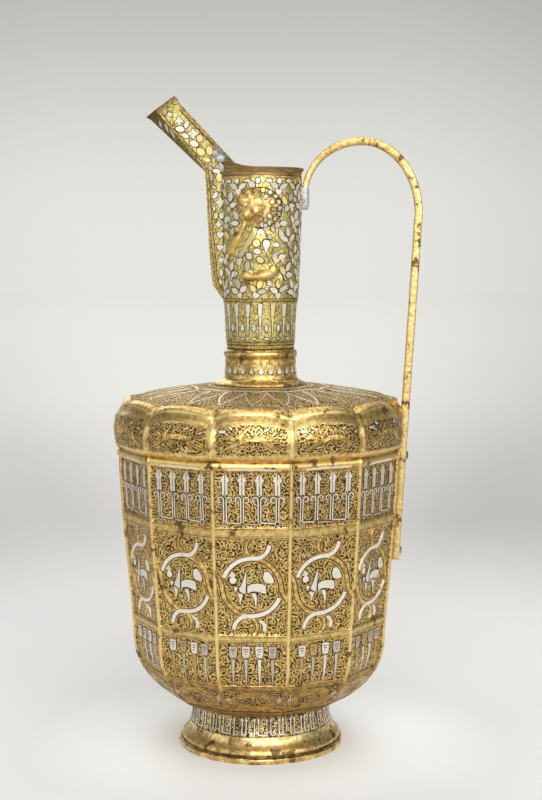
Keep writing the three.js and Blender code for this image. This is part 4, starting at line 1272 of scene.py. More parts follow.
def neck_finish(name, with_relief):
    material, tree, shader, colour, _ = brass(name, bright=(0.86, 0.72, 0.28, 1.0),
                                              middle=(0.60, 0.48, 0.16, 1.0), dull=(0.28, 0.20, 0.07, 1.0),
                                              size=7.0, amount=0.3, shine=0.4)
    place = add_node(tree, "ShaderNodeVectorMath", {"operation": "SCALE"},
                     i0=tree.nodes["Texture Coordinate"].outputs["Object"], Scale=1000.0).outputs[0]
    bend = noise_node(tree, place, 0.35, 1.0)
    warped = add_node(tree, "ShaderNodeVectorMath", {"operation": "MULTIPLY_ADD"}, i0=bend.outputs["Color"],
                      i1=(2.0, 2.0, 2.0), i2=place)
    cells = add_node(tree, "ShaderNodeTexVoronoi",
                     {"voronoi_dimensions": "3D", "feature": "DISTANCE_TO_EDGE"},
                     Vector=warped.outputs[0], Scale=0.34)
    lines = ramp(tree, cells.outputs["Distance"], 0.03, 0.085, 1.0, 0.0)
    if with_relief:
        colour, lines = relief_look(tree, place, colour, lines)
    else:
        colour = spout_look(tree, place, colour)
    mixed = blend_colours(tree, product(tree, lines, 0.7), colour, OUTLINE)
    tree.links.new(mixed, shader.inputs["Base Color"])
    return material


def neck_wear(radius, angle, level):
    grime_and_shade = 0.3 * ease((level - 349.0) / 2.5) + 0.5 * near(level, 244.4, 2.0)
    return grime_and_shade + 1.2 * near(radius, 26.4, 0.9), 0.0


neck_brass = neck_finish("outlined neck brass", True)
spout_brass = neck_finish("outlined spout brass", False)
neck.data.materials.append(neck_brass)
tidy_normals(neck)
store_wear_and_shading(neck, neck_wear)
finish_piece(neck, ["neck"])
spout_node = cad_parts["spout"]
spout_node.data.materials[0] = spout_brass

# %% [markdown]
# The handle is a long flat bar: straight up from the body, over a high arch of two quarter ellipses and
# down to the neck. It follows a path, so stations along that path each carry a rounded section, and
# the section thins towards the end.

# %% Handle strap
STRAP_WIDTH = 8.0
STRAP_THICK = 4.9
END_THICK = 3.5
SPRING = NECK_LOW + NECK_HEIGHT * 0.751
STRAP_END = NECK_LOW + NECK_HEIGHT * 0.857
ARCH_TOP = NECK_LOW + NECK_HEIGHT + 16.4
STRAP_FOOT = BODY_LOW + BODY_HEIGHT * 0.569


def strap_path():
    spring_out = seat_out(SPRING) + STRAP_THICK / 2
    end_out = neck_radius(STRAP_END) + 0.3 + END_THICK / 2
    middle = (spring_out + end_out) / 2
    span = (spring_out - end_out) / 2
    path = []
    for level in np.linspace(STRAP_FOOT, SPRING, 64)[:-1]:
        path.append((seat_out(level) + STRAP_THICK / 2, level, STRAP_THICK))
    for angle in np.linspace(0, math.pi / 2, 28):
        level = SPRING + (ARCH_TOP - SPRING) * math.sin(angle)
        path.append((middle + span * math.cos(angle), level, STRAP_THICK))
    for share in np.linspace(0, 1, 28)[1:]:
        angle = (1 - share) * math.pi / 2
        level = STRAP_END + (ARCH_TOP - STRAP_END) * math.sin(angle)
        thick = STRAP_THICK + (END_THICK - STRAP_THICK) * share
        path.append((middle - span * math.cos(angle), level, thick))
    return path


def strap_mesh():
    path = strap_path()
    points = []
    sides = 20
    for i, (out, level, thick) in enumerate(path):
        before = path[max(0, i - 1)]
        after = path[min(len(path) - 1, i + 1)]
        along = Vector((after[0] - before[0], 0, after[1] - before[1])).normalized()
        outward = Vector((along.z, 0, -along.x))
        uneven = 0.18 * noise.noise(Vector((0, 0, level / 14 + i * 0.05)))
        for k in range(sides):
            turn = 2 * math.pi * k / sides
            a = (thick / 2 + uneven) * squared(math.cos(turn), 0.3)
            b = (STRAP_WIDTH / 2 + uneven) * squared(math.sin(turn), 0.3)
            place = Vector((out, 0, level)) + outward * a
            points.append((place.x, b, place.z))
    faces = grid_faces(points, sides, open_rows=True, closed_columns=True)
    faces.append(tuple(range(sides)))
    faces.append(tuple(range(len(points) - sides, len(points))))
    return new_piece("strap_handle", points, faces, wobble=False)


handle = strap_mesh()
strap_brass = brass("bright strap brass", bright=(0.91, 0.72, 0.32, 1.0), middle=(0.76, 0.56, 0.22, 1.0),
                    size=7.0, amount=0.42, shine=0.38, dents=0.5)[0]
handle.data.materials.append(strap_brass)
tidy_normals(handle)
store_wear_and_shading(handle, lambda radius, angle, level: (0.5 * ease((level - 345.0) / 18.0) + 0.1, 0.0))
finish_piece(handle, ["handle_strap"])
for name, material in (("handle_waist_rivet", brown_brass), ("handle_tail_rivet", polished),
                       ("base_plate", brown_brass)):
    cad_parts[name].data.materials[0] = material

# %% [markdown]
# A grey lump of solder holds the strap's upper end. It was melted on, so it is a rounded, uneven block
# and not a made part: a box with soft corners, pushed about a little by noise. Two smaller lumps sit
# between the rim and the spout on each side.

# %% Solder lug
LUG_MIDDLE = (26.7, 0.0, 334.6)
LUG_HALF = (2.8, 4.9, 7.3)


def solder_lump(name, centre, half_sizes, square=0.5, uneven=0.09):
    points = []
    rings, sides = 18, 28
    for row in range(rings + 1):
        lean = math.pi * row / rings
        for k in range(sides):
            turn = 2 * math.pi * k / sides
            corner = (math.sin(lean) * math.cos(turn), math.sin(lean) * math.sin(turn), -math.cos(lean))
            soft = [squared(c, square) for c in corner]
            lump = 1 + uneven * noise.noise(Vector(corner) * 1.7 + Vector(centre))
            points.append([c + s * half * lump for c, s, half in zip(centre, soft, half_sizes)])
    lump = new_piece(name, points, grid_faces(points, sides, open_rows=True, closed_columns=True))
    lump.data.materials.append(solder)
    tidy_normals(lump, weld=0.00001)
    return lump


finish_piece(solder_lump("solder_lug", LUG_MIDDLE, LUG_HALF), ["handle_lug"])
# Each lump between rim and spout: middle and half sizes
PATCHES = [((-23.4, 11.0, 357.6), (3.3, 1.7, 2.1)), ((-22.0, 11.7, 352.8), (2.3, 1.6, 3.3))]
for side, label in ((-1, "near"), (1, "far")):
    for number, ((x, y, level), half) in enumerate(PATCHES):
        patch = solder_lump(f"solder_patch_{label}_{number}", (x, side * y, level), half, 0.95, 0.22)
        finish_piece(patch)

# %% [markdown]
# All inlay is the same job: a thin raised shape drawn on a curved surface. The class below draws strips
# along a path and small plates inside an outline, in millimetres across and up the surface. The
# surface is a function that gives a place for them, so the same drawing works on a facet, a lobe,
# the neck or the foot. Dark beds under the silver are drawn the same way, a little wider.

# %% A class for inlay
FRONT_COPY = 9
SUNK = -0.15
PROUD = 0.28


class Inlay:
    """Thin shapes drawn on one surface, gathered into one mesh."""

    def __init__(self, surface):
        self.surface = surface
        self.points = []
        self.faces = []
        self.tones = []
        self.items = []

    def add(self, places, faces, tone):
        start = len(self.points)
        self.items += [self.items[-1] + 1 if self.items else 0] * len(places)
        self.points += [self.surface(x, y, lift) for x, y, lift in places]
        self.faces += [tuple(start + i for i in face) for face in faces]
        self.tones += [tone] * len(places)

    def strip(self, path, width, height=PROUD, tone=0.7, closed=False):
        path = [Vector(p) for p in path]
        count = len(path)
        places = []
        for i, here in enumerate(path):
            before = path[i - 1] if closed or i else here
            after = path[(i + 1) % count] if closed or i < count - 1 else here
            along = (after - before).normalized()
            side = Vector((-along.y, along.x))
            half = (width[i] if isinstance(width, (list, tuple)) else width) / 2
            for share, up in ((-1.0, SUNK), (-0.78, height), (0.78, height), (1.0, SUNK)):
                spot = here + side * half * share
                places.append((spot.x, spot.y, up))
        faces = []
        for i in range(count if closed else count - 1):
            j = (i + 1) % count
            faces += [(4 * i + k, 4 * i + (k + 1) % 4, 4 * j + (k + 1) % 4, 4 * j + k) for k in range(4)]
        if not closed:
            faces += [(0, 1, 2, 3), tuple(4 * (count - 1) + k for k in (3, 2, 1, 0))]
        self.add(places, faces, tone)

    def plate(self, outline, height=PROUD, tone=0.7, grow=0.0):
        flat = [Vector((x, y, 0)) for x, y in outline]
        if grow:
            area = sum(a.x * b.y - b.x * a.y for a, b in zip(flat, flat[1:] + flat[:1]))
            sign = 1 if area > 0 else -1
            grown = []
            for i, here in enumerate(flat):
                along = (flat[(i + 1) % len(flat)] - flat[i - 1]).normalized()
                grown.append(here + Vector((along.y, -along.x, 0)) * grow * sign)
            flat = grown
        count = len(flat)
        places = [(p.x, p.y, height) for p in flat] + [(p.x, p.y, SUNK) for p in flat]
        faces = [tuple(t) for t in tessellate_polygon([flat])]
        faces += [tuple(count + i for i in reversed(t)) for t in tessellate_polygon([flat])]
        faces += [(i, (i + 1) % count, count + (i + 1) % count, count + i) for i in range(count)]
        self.add(places, faces, tone)

    def wear_off(self, made, loss):
        """Lets shapes of single copies go dull, or lose their silver, at random with a fixed seed."""
        fate = random.Random(23)
        fates = {}
        layers = made.data.attributes
        for number, item, tone in zip(layers["copy_number"].data, layers["item"].data, layers["tone"].data):
            key = (round(number.value), round(item.value))
            if key not in fates:
                draw = fate.random() + (0.35 if key[0] == FRONT_COPY else 0.0)
                dull = fate.choice((0.0, 0.15, 0.3))
                fates[key] = 1.6 if draw < loss else dull if draw < loss * 2 else None
            if fates[key] is not None:
                tone.value = fates[key]

    def piece(self, name, material, slot, copies=FACETS, replaced=(), wobble=True, loss=0.0):
        if copies:
            made = new_piece(name, self.points, self.faces, wobble=False, tone=self.tones, item=self.items)
            round_about(made, material, copies=copies, smooth=False)
            if loss:
                self.wear_off(made, loss)
            made.data.attributes.remove(made.data.attributes["item"])
        else:
            made = new_piece(name, self.points, self.faces, wobble=wobble, smooth=False, tone=self.tones)
            made.data.materials.append(material)
        tidy_normals(made)
        finish_piece(made, replaced)
        return made


def arc(centre, radius, start, end, steps=18):
    return [(centre[0] + radius * math.cos(math.radians(a)), centre[1] + radius * math.sin(math.radians(a)))
            for a in np.linspace(start, end, steps)]


def ring_path(level, length, steps):
    """A level line all the way round a turned surface, open by one step so that a strip can close it."""
    return [(x, level) for x in np.linspace(0, length, steps + 1)[:-1]]


def both(path, width, silver_set, bed_set, tone=0.75, edge=0.55, **more):
    """A silver strip and the wider dark bed under it."""
    silver_set.strip(path, width, tone=tone, **more)
    wide = [w + 2 * edge for w in width] if isinstance(width, (list, tuple)) else width + 2 * edge
    bed_set.strip(path, wide, height=0.1, **more)


# %% [markdown]
# On each facet a strap band winds round a medallion. Its middle is silver up the left side, over the top
# and up to the frame, and gold down the right side, where it bends out and joins the rib. A small gold
# hook stands beside the silver end. Turned by half a turn, the same band makes the lower half. Each
# band is a wide dark bed, a middle strip and a thin gold edge on either side.

# %% Medallion bands
facet_silver = Inlay(facet_surface)
facet_bed = Inlay(facet_surface)
facet_gold = Inlay(facet_surface)
MEDAL = (-0.4, 112.8)
MEDAL_RADIUS = 16.7
INNER_RING = 14.55


def beside(path, offset):
    """A path that runs a set distance to the left of another."""
    places = []
    for i, (x, y) in enumerate(path):
        x1, y1 = path[max(i - 1, 0)]
        x2, y2 = path[min(i + 1, len(path) - 1)]
        length = math.hypot(x2 - x1, y2 - y1) or 1.0
        places.append((x - (y2 - y1) / length * offset, y + (x2 - x1) / length * offset))
    return places


def strap_band(path, in_silver, width=2.7, tone=0.85):
    facet_bed.strip(path, width + 1.9, height=0.06)
    middle = facet_silver if in_silver else facet_gold
    middle.strip(path, width, height=0.34 if in_silver else 0.26, tone=tone)
    for side in (-1, 1):
        facet_gold.strip(beside(path, side * (width / 2 + 0.62)), 0.55, height=0.3 if in_silver else 0.22)


def about_medal(path, half_turn):
    sign = -1 if half_turn else 1
    return [(MEDAL[0] + sign * x, MEDAL[1] + sign * y) for x, y in path]


for half_turn in (False, True):
    to_rib = arc((0, 0), MEDAL_RADIUS, 80, 6, 16) + [(16.9, -0.8), (17.7, -3.2), (19.0, -5.8), (21.2, -8.6)]
    hook = arc((2.4, 23.2), 5.6, 118, 262, 14)
    rising = arc((0, 0), MEDAL_RADIUS, 160, 92, 16) + arc((1.9, 25.1), 8.3, 276, 356, 10)
    strap_band(about_medal(to_rib, half_turn), False)
    strap_band(about_medal(hook, half_turn), False, width=2.2)
    strap_band(about_medal(rising, half_turn), True)
facet_gold.strip(arc(MEDAL, INNER_RING, 0, 355, 60), 0.5, height=0.3, closed=True)
stub = [(4.4, -19.2), (6.6, -20.6), (7.4, -23.0), (7.2, -25.6)]
facet_silver.strip(about_medal(stub, False), [1.6, 2.2, 2.4, 2.2], height=0.36, tone=0.8)

# %% [markdown]
# Inside the ring stands a small winged beast in silver, with its head in a halo. It is only some two
# centimetres across, so a few plain plates give it: halo, head, chest, wing, back, hind leg, foreleg
# and tail.

# %% Medallion beast


SHEET_MIDDLE = (690, 810)
SHEET_STEP = 0.0388


def from_drawing(outline):
    """Turns places on the drawing of the beast, which counts downwards, into millimetres on the facet."""
    return [((x - SHEET_MIDDLE[0]) * SHEET_STEP, MEDAL[1] + (SHEET_MIDDLE[1] - y) * SHEET_STEP)
            for x, y in outline]


BEAST = [
    [(602, 560), (608, 640), (600, 760), (592, 885), (572, 905), (505, 862), (500, 822), (540, 755),
     (575, 650)],
    [(620, 792), (680, 758), (760, 745), (840, 752), (888, 775), (897, 890), (850, 892), (790, 872),
     (730, 862), (670, 868), (622, 893)],
    [(680, 893), (742, 893), (752, 925), (762, 970), (752, 1085), (736, 1085), (722, 990), (690, 930)],
    [(468, 908), (505, 892), (552, 912), (548, 950), (524, 1030), (508, 1028), (498, 960)],
    [(420, 800), (478, 805), (470, 840), (436, 885), (430, 850)],
    [(868, 580), (920, 562), (968, 610), (1008, 690), (1005, 735), (940, 742), (880, 730), (848, 660)],
    [(352, 640), (358, 610), (400, 570), (440, 605), (455, 640), (400, 655)],
]
for number, outline in enumerate(BEAST):
    facet_silver.plate(from_drawing(outline), tone=0.65 + 0.05 * (number % 3))
    facet_bed.plate(from_drawing(outline), height=0.1, grow=0.5)
head = from_drawing([(410, 702)])[0]
facet_silver.plate(arc(head, 1.95, 0, 340, 14), tone=0.9)
facet_bed.plate(arc(head, 2.5, 0, 340, 14), height=0.1)
halo = arc(head, 3.7, 0, 350, 26)
facet_bed.strip(halo, 1.3, height=0.06, closed=True)
facet_gold.strip(halo, 0.55, closed=True)
CURLS = [
    [(352, 950), (400, 925), (450, 940), (490, 990), (520, 1060)],
    [(350, 960), (380, 1010), (440, 1060)],
    [(900, 735), (960, 745), (1010, 765), (1030, 840), (1010, 880)],
]
for curl in CURLS:
    facet_gold.strip(from_drawing(curl), 0.8)

# %% [markdown]
# The upper band carries four pairs of silver shafts with spear tips above and curled bars below, and the
# lower band four tapered shafts with bud-shaped heads. Both are plain ornament here: even,
# mirrored and without meaning.

# %% Upper band of shafts


def spear_pair(centre):
    for side in (-1, 1):
        inner = centre + 0.22 * side
        outer = inner + 1.35 * side
        outline = [(inner, 178.4), (inner, 166.2), (outer, 166.2), (outer, 173.4),
                   (inner + 2.5 * side, 174.4)]
        facet_silver.plate(outline, tone=0.62)
        facet_bed.plate(outline, height=0.1, grow=0.45)
        curl = (centre + 2.3 * side, 163.4)
        hook = arc(curl, 1.55, -80 if side > 0 else 260, 180 if side > 0 else 0, 12)
        shaft = [(centre + 0.75 * side, level) for level in (161.5, 156.5, 150.8)]
        both(hook + shaft, 0.8, facet_silver, facet_bed, tone=0.74, edge=0.4)


SHAFT_PLACES = (-15.2, -5.6, 4.2, 14.4)
for centre in SHAFT_PLACES:
    spear_pair(centre)
for left, right in ((-14.4, -6.6), (5.2, 13.4)):
    both([(left, 150.4), (right, 150.0)], 0.8, facet_silver, facet_bed, tone=0.74, edge=0.4)
for centre in (SHAFT_PLACES[0], SHAFT_PLACES[-1]):
    knot = arc((centre, 149.9), 1.35, 0, 340, 14)
    both(knot, 0.7, facet_silver, facet_bed, tone=0.4, edge=0.35, closed=True)
both([(-4.6, 149.6), (3.2, 149.3)], 0.8, facet_silver, facet_bed, tone=0.35, edge=0.4)

# %% Lower band of tapered shafts
bud_silver = Inlay(facet_surface)
for centre, shade in ((-11.2, 0.6), (-3.9, 0.5), (3.8, 0.7), (11.3, 0.35)):
    bud = [(centre - 1.5, 71.4), (centre - 2.15, 73.0), (centre - 2.3, 78.0), (centre + 2.3, 78.0),
           (centre + 2.15, 73.0), (centre + 1.5, 71.4)]
    bud_silver.plate(bud, tone=shade)
    facet_bed.plate(bud, height=0.1, grow=0.5)
    for level, half in ((76.3, 1.7), (75.0, 1.2), (73.6, 0.5)):
        facet_bed.strip([(centre - half, level), (centre + half * 0.8, level + 0.15)], 0.5, height=0.34)
    path = [(centre, level) for level in (70.4, 66.0, 60.0, 54.6)]
    both(path, [2.5, 2.0, 1.3, 0.5], bud_silver, facet_bed, tone=shade, edge=0.45)

# %% [markdown]
# Gold borders run between the bands, each with dark lines along its edges, and a braided line with
# ovals runs round the bowl. The lines are shallow dark strips, so that they stay crisp close up.

# %% Border lines
facet_half = lambda level: rib_radius(level) * math.sin(HALF)
frame_lines = Inlay(lambda across, level, lift: (plane_out(level) + lift - 0.02, across, level))
for low, high in (UPPER_BORDER, LOWER_BORDER, HEM):
    for level, width in ((low + 0.6, 0.42), (low + 1.5, 0.2), (high - 1.4, 0.2), (high - 0.55, 0.42)):
        half = facet_half(level) - 1
        frame_lines.strip([(x, level) for x in np.linspace(-half, half, 4)], width, height=0.05)
frame_lines.piece("border_lines", pitch, "brown_brass")
oval = arc((0.0, 0.0), 1.0, 0, 350, 36)
bowl_surface = lambda across, level, lift: (facet_out(0.0, level) + lift, across, level)
bowl_gold = Inlay(bowl_surface)
bowl_bed = Inlay(bowl_surface)
OVAL_WIDE = 11.6
OVAL_HIGH = 5.2
OVAL_LEVEL = 43.0
bowl_bed.strip([(x * OVAL_WIDE, OVAL_LEVEL + y * OVAL_HIGH) for x, y in oval], 4.6, height=0.06,
               closed=True)
for level, width, lines, height in ((32.9, 0.9, bowl_gold, 0.25), (34.0, 0.8, bowl_bed, 0.1),
                                    (31.9, 0.4, bowl_bed, 0.1)):
    half = facet_half(level) - 0.1
    lines.strip([(x, level) for x in np.linspace(-half, half, 5)], width, height=height)
for grow in (-1.8, -0.6, 0.6, 1.8):
    wide = OVAL_WIDE + grow
    high = OVAL_HIGH + grow * 0.8
    bowl_gold.strip([(x * wide, OVAL_LEVEL + y * high) for x, y in oval], 0.8, height=0.2, closed=True)
bowl_lines = bowl_gold.piece("bowl_lines", frame_gold, "chased_brass")
store_wear_and_shading(bowl_lines, lambda radius, angle, level: (0.6, 0.0))
bowl_bed.piece("bowl_beds", pitch, "brown_brass")
for side in (-1, 1):
    diamond = [(side * x, level) for x, level in ((14.6, 46.4), (16.2, 44.6), (14.6, 42.4), (13.4, 44.6))]
    facet_silver.plate(diamond, tone=0.2)

facet_silver.piece("facet_silver", silver, "silver_inlay",
                   replaced=[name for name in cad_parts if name.startswith("silver_ribbon")])
bud_silver.piece("bud_silver", silver, "silver_inlay", loss=0.32)
facet_bed.piece("facet_beds", pitch, "brown_brass")
facet_gold.piece("facet_gold", frame_gold, "chased_brass")

# %% [markdown]
# A gold beast runs round each lobe, in low relief on the scroll ground. Its parts are tapered strips
# rather than one plate, because a strip bends with the swelling sheet and a flat plate would sink
# into it.

# %% Running beasts on the lobes
lobe_gold = Inlay(lobe_surface)
lobe_silver = Inlay(lobe_surface)
lobe_bed = Inlay(lobe_surface)
LIMBS = [
    ([(12.7, 193.0), (9.9, 196.4), (4.8, 198.6), (-1.2, 198.6), (-6.0, 196.8), (-11.1, 194.0),
      (-15.9, 191.4)], [2.4, 4.4, 3.8, 3.3, 3.4, 2.4, 1.1]),
    ([(9.6, 195.4), (14.7, 192.9), (19.4, 190.8)], [2.6, 1.4, 0.9]),
    ([(-6.7, 198.6), (-3.8, 201.8), (-1.4, 204.8)], [2.8, 1.6, 0.6]),
    ([(-8.6, 197.4), (-12.6, 199.4), (-15.9, 198.4)], [3.2, 3.4, 1.6]),
    ([(-7.9, 196.2), (-13.6, 196.4), (-18.6, 194.4)], [2.0, 1.2, 0.8]),
    ([(11.0, 198.6), (14.6, 199.4), (17.0, 198.6), (18.2, 200.6)], [1.6, 1.1, 0.9, 0.6]),
    ([(10.6, 199.8), (11.4, 197.6), (10.6, 195.2)], [0.6, 2.2, 1.2]),
]
for path, widths in LIMBS:
    lobe_gold.strip(path, widths, height=0.32)
    lobe_bed.strip(path, [w + 0.8 for w in widths], height=0.08)
FLAKES = [(-16.2, 202.2, 1.7, 0.8), (8.6, 203.4, 1.3, 0.5), (-11.4, 204.2, 1.1, 0.9),
          (3.4, 191.6, 0.8, 0.4), (16.9, 201.0, 1.2, 0.3), (-13.6, 201.0, 0.9, 0.6)]
for x, level, size, tone in FLAKES:
    flake = []
    for k in range(6):
        ragged = 1 + 0.45 * math.sin(5 * x + 2 * k)
        turn = k * 1.05 + x
        flake.append((x + size * ragged * math.cos(turn), level + size * 0.8 * ragged * math.sin(turn)))
    lobe_silver.plate(flake, height=0.3, tone=tone)
    lobe_bed.plate(flake, height=0.1, grow=0.5)
lobe_gold.piece("lobe_beasts", frame_gold, "chased_brass")
lobe_bed.piece("lobe_beds", pitch, "brown_brass")
lobe_silver.piece("lobe_silver", silver, "silver_inlay", loss=0.22)

# %% [markdown]
# A thin silver strip runs along the lower half of the moulding on each facet, and a dark line marks the
# crease below it.

# %% Moulding strip
mould_surface = lambda across, level, lift: (facet_out(across, level) + lift, across, level)
mould_silver = Inlay(mould_surface)
bowed = [(x, 180.75 - 0.0022 * x * x) for x in np.linspace(-13.5, 13.5, 10)]
mould_silver.strip(bowed, 1.15, height=0.14, tone=0.85)
mould_silver.piece("mould_silver", silver, "silver_inlay")
mould_lines = Inlay(mould_surface)
mould_lines.strip([(x, 179.5) for x in np.linspace(-21, 21, 8)], 0.5, height=0.06)
mould_lines.piece("mould_lines", pitch, "brown_brass")

# %% [markdown]
# The low dome is engraved too, but so worn that only pale lines still show: a scalloped ring near the
# collar and a zigzag of long petals that reach almost to the lobes. They are thin worn silver strips.

# %% Petals on the dome
DOME_REACH = 50.0


def dome_surface(across, reach, lift):
    turn = across / DOME_REACH
    side = facet_side(turn)
    ring = reach
    for _ in range(4):
        share = min(abs(reach * math.sin(side)) / (ring * math.sin(HALF)), 0.999)
        ring = reach * math.cos(side) / (math.cos(HALF) + (1 - math.cos(HALF)) * swelling(share))
    level = float(np.interp(-ring, -DOME_ROWS[:, 1], DOME_ROWS[:, 0]))
    return (reach * math.cos(turn), reach * math.sin(turn), level + lift)


dome_silver = Inlay(dome_surface)
PETALS = 24
PETAL_TIP = 73.5
PETAL_FOOT = 43.5
PETAL_WIDTHS = [0.45, 0.6, 0.75, 0.8, 0.85, 0.9, 0.9]
ROUND = 2 * math.pi * DOME_REACH
step = ROUND / PETALS
for number in range(PETALS):
    tip = number * step
    for side in (-1, 1):
        foot_place = (number + side * 0.5) * step
        bow = [(tip + (foot_place - tip) * s + side * 0.8 * math.sin(math.pi * s),
                PETAL_TIP + (PETAL_FOOT - PETAL_TIP) * s) for s in np.linspace(0.02, 0.98, 7)]
        dome_silver.strip(bow, PETAL_WIDTHS, height=0.1, tone=0.3 + 0.25 * (number % 3))
scallop = [(x, reach - 2.4 * abs(math.sin(6 * x / DOME_REACH))) for x, reach in ring_path(42.4, ROUND, 144)]
dome_silver.strip(scallop, 1.3, height=0.12, tone=0.6, closed=True)
for reach, width in ((31.4, 0.7), (76.4, 0.6)):
    dome_silver.strip(ring_path(reach, ROUND, 144), width, height=0.08, tone=0.35, closed=True)
dome_silver.piece("dome_lines", silver, "silver_inlay", copies=0)

# %% [markdown]
# Small silver leaves and lozenges cover the neck and the spout in clusters. Each is set in a dark bed.
# They are scattered by Geometry Nodes: points carry a turn, a size and a tone, and the tree puts one
# low-sided leaf on each. Places are drawn up cluster by cluster with a fixed seed, and the relief,
# the rim and the borders are kept free.

# %% Geometry Nodes: set leaves on points


def leaf_tree():
    tree, group_in, group_out = geometry_tree("set leaves on points", [
        ("Leaf", "NodeSocketObject"), ("Material", "NodeSocketMaterial")])
    turn = add_node(tree, "GeometryNodeInputNamedAttribute", {"data_type": "FLOAT_VECTOR"}, Name="turn")
    size = add_node(tree, "GeometryNodeInputNamedAttribute", {"data_type": "FLOAT_VECTOR"}, Name="size")
    rotation = add_node(tree, "FunctionNodeEulerToRotation", Euler=turn.outputs[0])
    leaf = add_node(tree, "GeometryNodeObjectInfo", {"transform_space": "ORIGINAL"},
                    Object=group_in.outputs["Leaf"])
    copies = add_node(tree, "GeometryNodeInstanceOnPoints", Points=group_in.outputs["Geometry"],
                      Instance=leaf.outputs["Geometry"], Rotation=rotation.outputs[0],
                      Scale=size.outputs[0])
    end_tree(tree, copies.outputs[0], group_in, group_out)
    return tree


set_leaves = leaf_tree()
LEAF_OUTLINES = {
    "leaf": [(0, 1), (0.24, 0.62), (0.45, 0.15), (0.47, -0.3), (0.3, -0.75), (0, -1), (-0.3, -0.75),
             (-0.47, -0.3), (-0.45, 0.15), (-0.24, 0.62)],
    "lozenge": [(0, 1), (0.3, 0.32), (0.72, 0), (0.3, -0.32), (0, -1), (-0.3, -0.32), (-0.72, 0),
                (-0.3, 0.32)],
    "heart": [(0, 1), (0.3, 0.5), (0.5, 0.0), (0.52, -0.4), (0.36, -0.75), (0.14, -0.8), (0, -0.55),
              (-0.14, -0.8), (-0.36, -0.75), (-0.52, -0.4), (-0.5, 0.0), (-0.3, 0.5)],
    "oval": [(0, 1), (0.35, 0.72), (0.5, 0.1), (0.4, -0.6), (0.15, -0.95), (-0.2, -0.9), (-0.45, -0.5),
             (-0.5, 0.1), (-0.34, 0.7)],
    "drop": [(0, 1), (0.2, 0.35), (0.5, -0.25), (0.52, -0.62), (0.28, -0.95), (-0.28, -0.95),
             (-0.52, -0.62), (-0.5, -0.25), (-0.2, 0.35)],
}


def leaf_template(kind, height):
    outline = LEAF_OUTLINES[kind]
    count = len(outline)
    places = [(x * MM, y * MM, SUNK * MM) for x, y in outline]
    places += [(x * 0.92 * MM, y * 0.94 * MM, height * MM) for x, y in outline]
    faces = [(i, (i + 1) % count, count + (i + 1) % count, count + i) for i in range(count)]
    faces.append(tuple(count + i for i in range(count)))
    faces.append(tuple(reversed(range(count))))
    mesh = bpy.data.meshes.new(kind)
    mesh.from_pydata(places, [], faces)
    template = bpy.data.objects.new(kind, mesh)
    scene.collection.objects.link(template)
    return template


class Scatter:
    """Leaves to be set on a surface, each with its place, lean, half width and half length."""

    def __init__(self, surface, wobble=True):
        self.surface = surface
        self.wobble = wobble
        self.sets = {}

    def put(self, kind, x, y, lean, wide, long, tone):
        here = Vector(self.surface(x, y, 0.0))
        right = Vector(self.surface(x + 0.4, y, 0.0)) - here
        up = Vector(self.surface(x, y + 0.4, 0.0)) - here
        normal = right.cross(up).normalized()
        up = (up - normal * up.dot(normal)).normalized()
        right = up.cross(normal)
        turned = Matrix((right, up, normal)).transposed() @ Matrix.Rotation(math.radians(lean), 3, "Z")
        self.sets.setdefault(kind, []).append((here, turned.to_euler(), (wide / 0.5, long, 1.0), tone))

    def pieces(self, name):
        for kind, rows in self.sets.items():
            for label, material, height, grow in (("silver", silver, 0.24, 0.0), ("bed", olive, 0.1, 0.5)):
                template = leaf_template(kind, height)
                points = [row[0] for row in rows]
                piece = new_piece(f"{name}_{kind}_{label}", points, [], wobble=self.wobble)
                turns = [row[1] for row in rows]
                sizes = [(row[2][0] + grow * 2, row[2][1] + grow, 1.0) for row in rows]
                for word, values in (("turn", turns), ("size", sizes)):
                    layer = piece.data.attributes.new(word, "FLOAT_VECTOR", "POINT")
                    layer.data.foreach_set("vector", [v for row in values for v in row])
                store(piece, "tone", [row[3] for row in rows])
                run_tree(piece, set_leaves, {"Leaf": template, "Material": material}, smooth=False)
                bpy.data.objects.remove(template)
                finish_piece(piece)


# %% Leaves on the neck


def neck_surface(across, level, lift):
    """Across is counted along the neck at its top radius, from the side that faces the viewer."""
    angle = across / TUBE_TOP - math.pi / 2
    radius = neck_radius(level) + relief_at(angle, level) + lift
    return (radius * math.cos(angle), radius * math.sin(angle), level)


def fitting_tone(chance):
    draw = chance.random()
    if draw < 0.1:
        return 1.3
    return chance.choice((0.35, 0.55, 0.75, 0.9, 1.0))


chance = random.Random(7)
neck_leaves = Scatter(neck_surface)
AROUND = 2 * math.pi * TUBE_TOP
CLUSTER = 12.9
FREE_RELIEF = 1.75
LEAF_BAND = (276.0, 344.4)


def free_of_relief(across, level):
    angle = across / TUBE_TOP - math.pi / 2
    proud = max(relief_at(angle + dx, level + dz) for dx in (-0.06, 0, 0.06) for dz in (-1.4, 0, 1.4))
    return proud < FREE_RELIEF


def on_mane(across, level):
    """Tells the lions' manes and chests, where shapes of their own take the place of the leaves."""
    return any(math.hypot((right - MANE[0]) / 15.6, (level - MANE[1]) / 13.4) < 1.0
               or math.hypot((right - 2.6) / 14.0, (level - 306.5) / 12.0) < 1.0
               for right in (across, across - AROUND, AROUND / 2 - across))


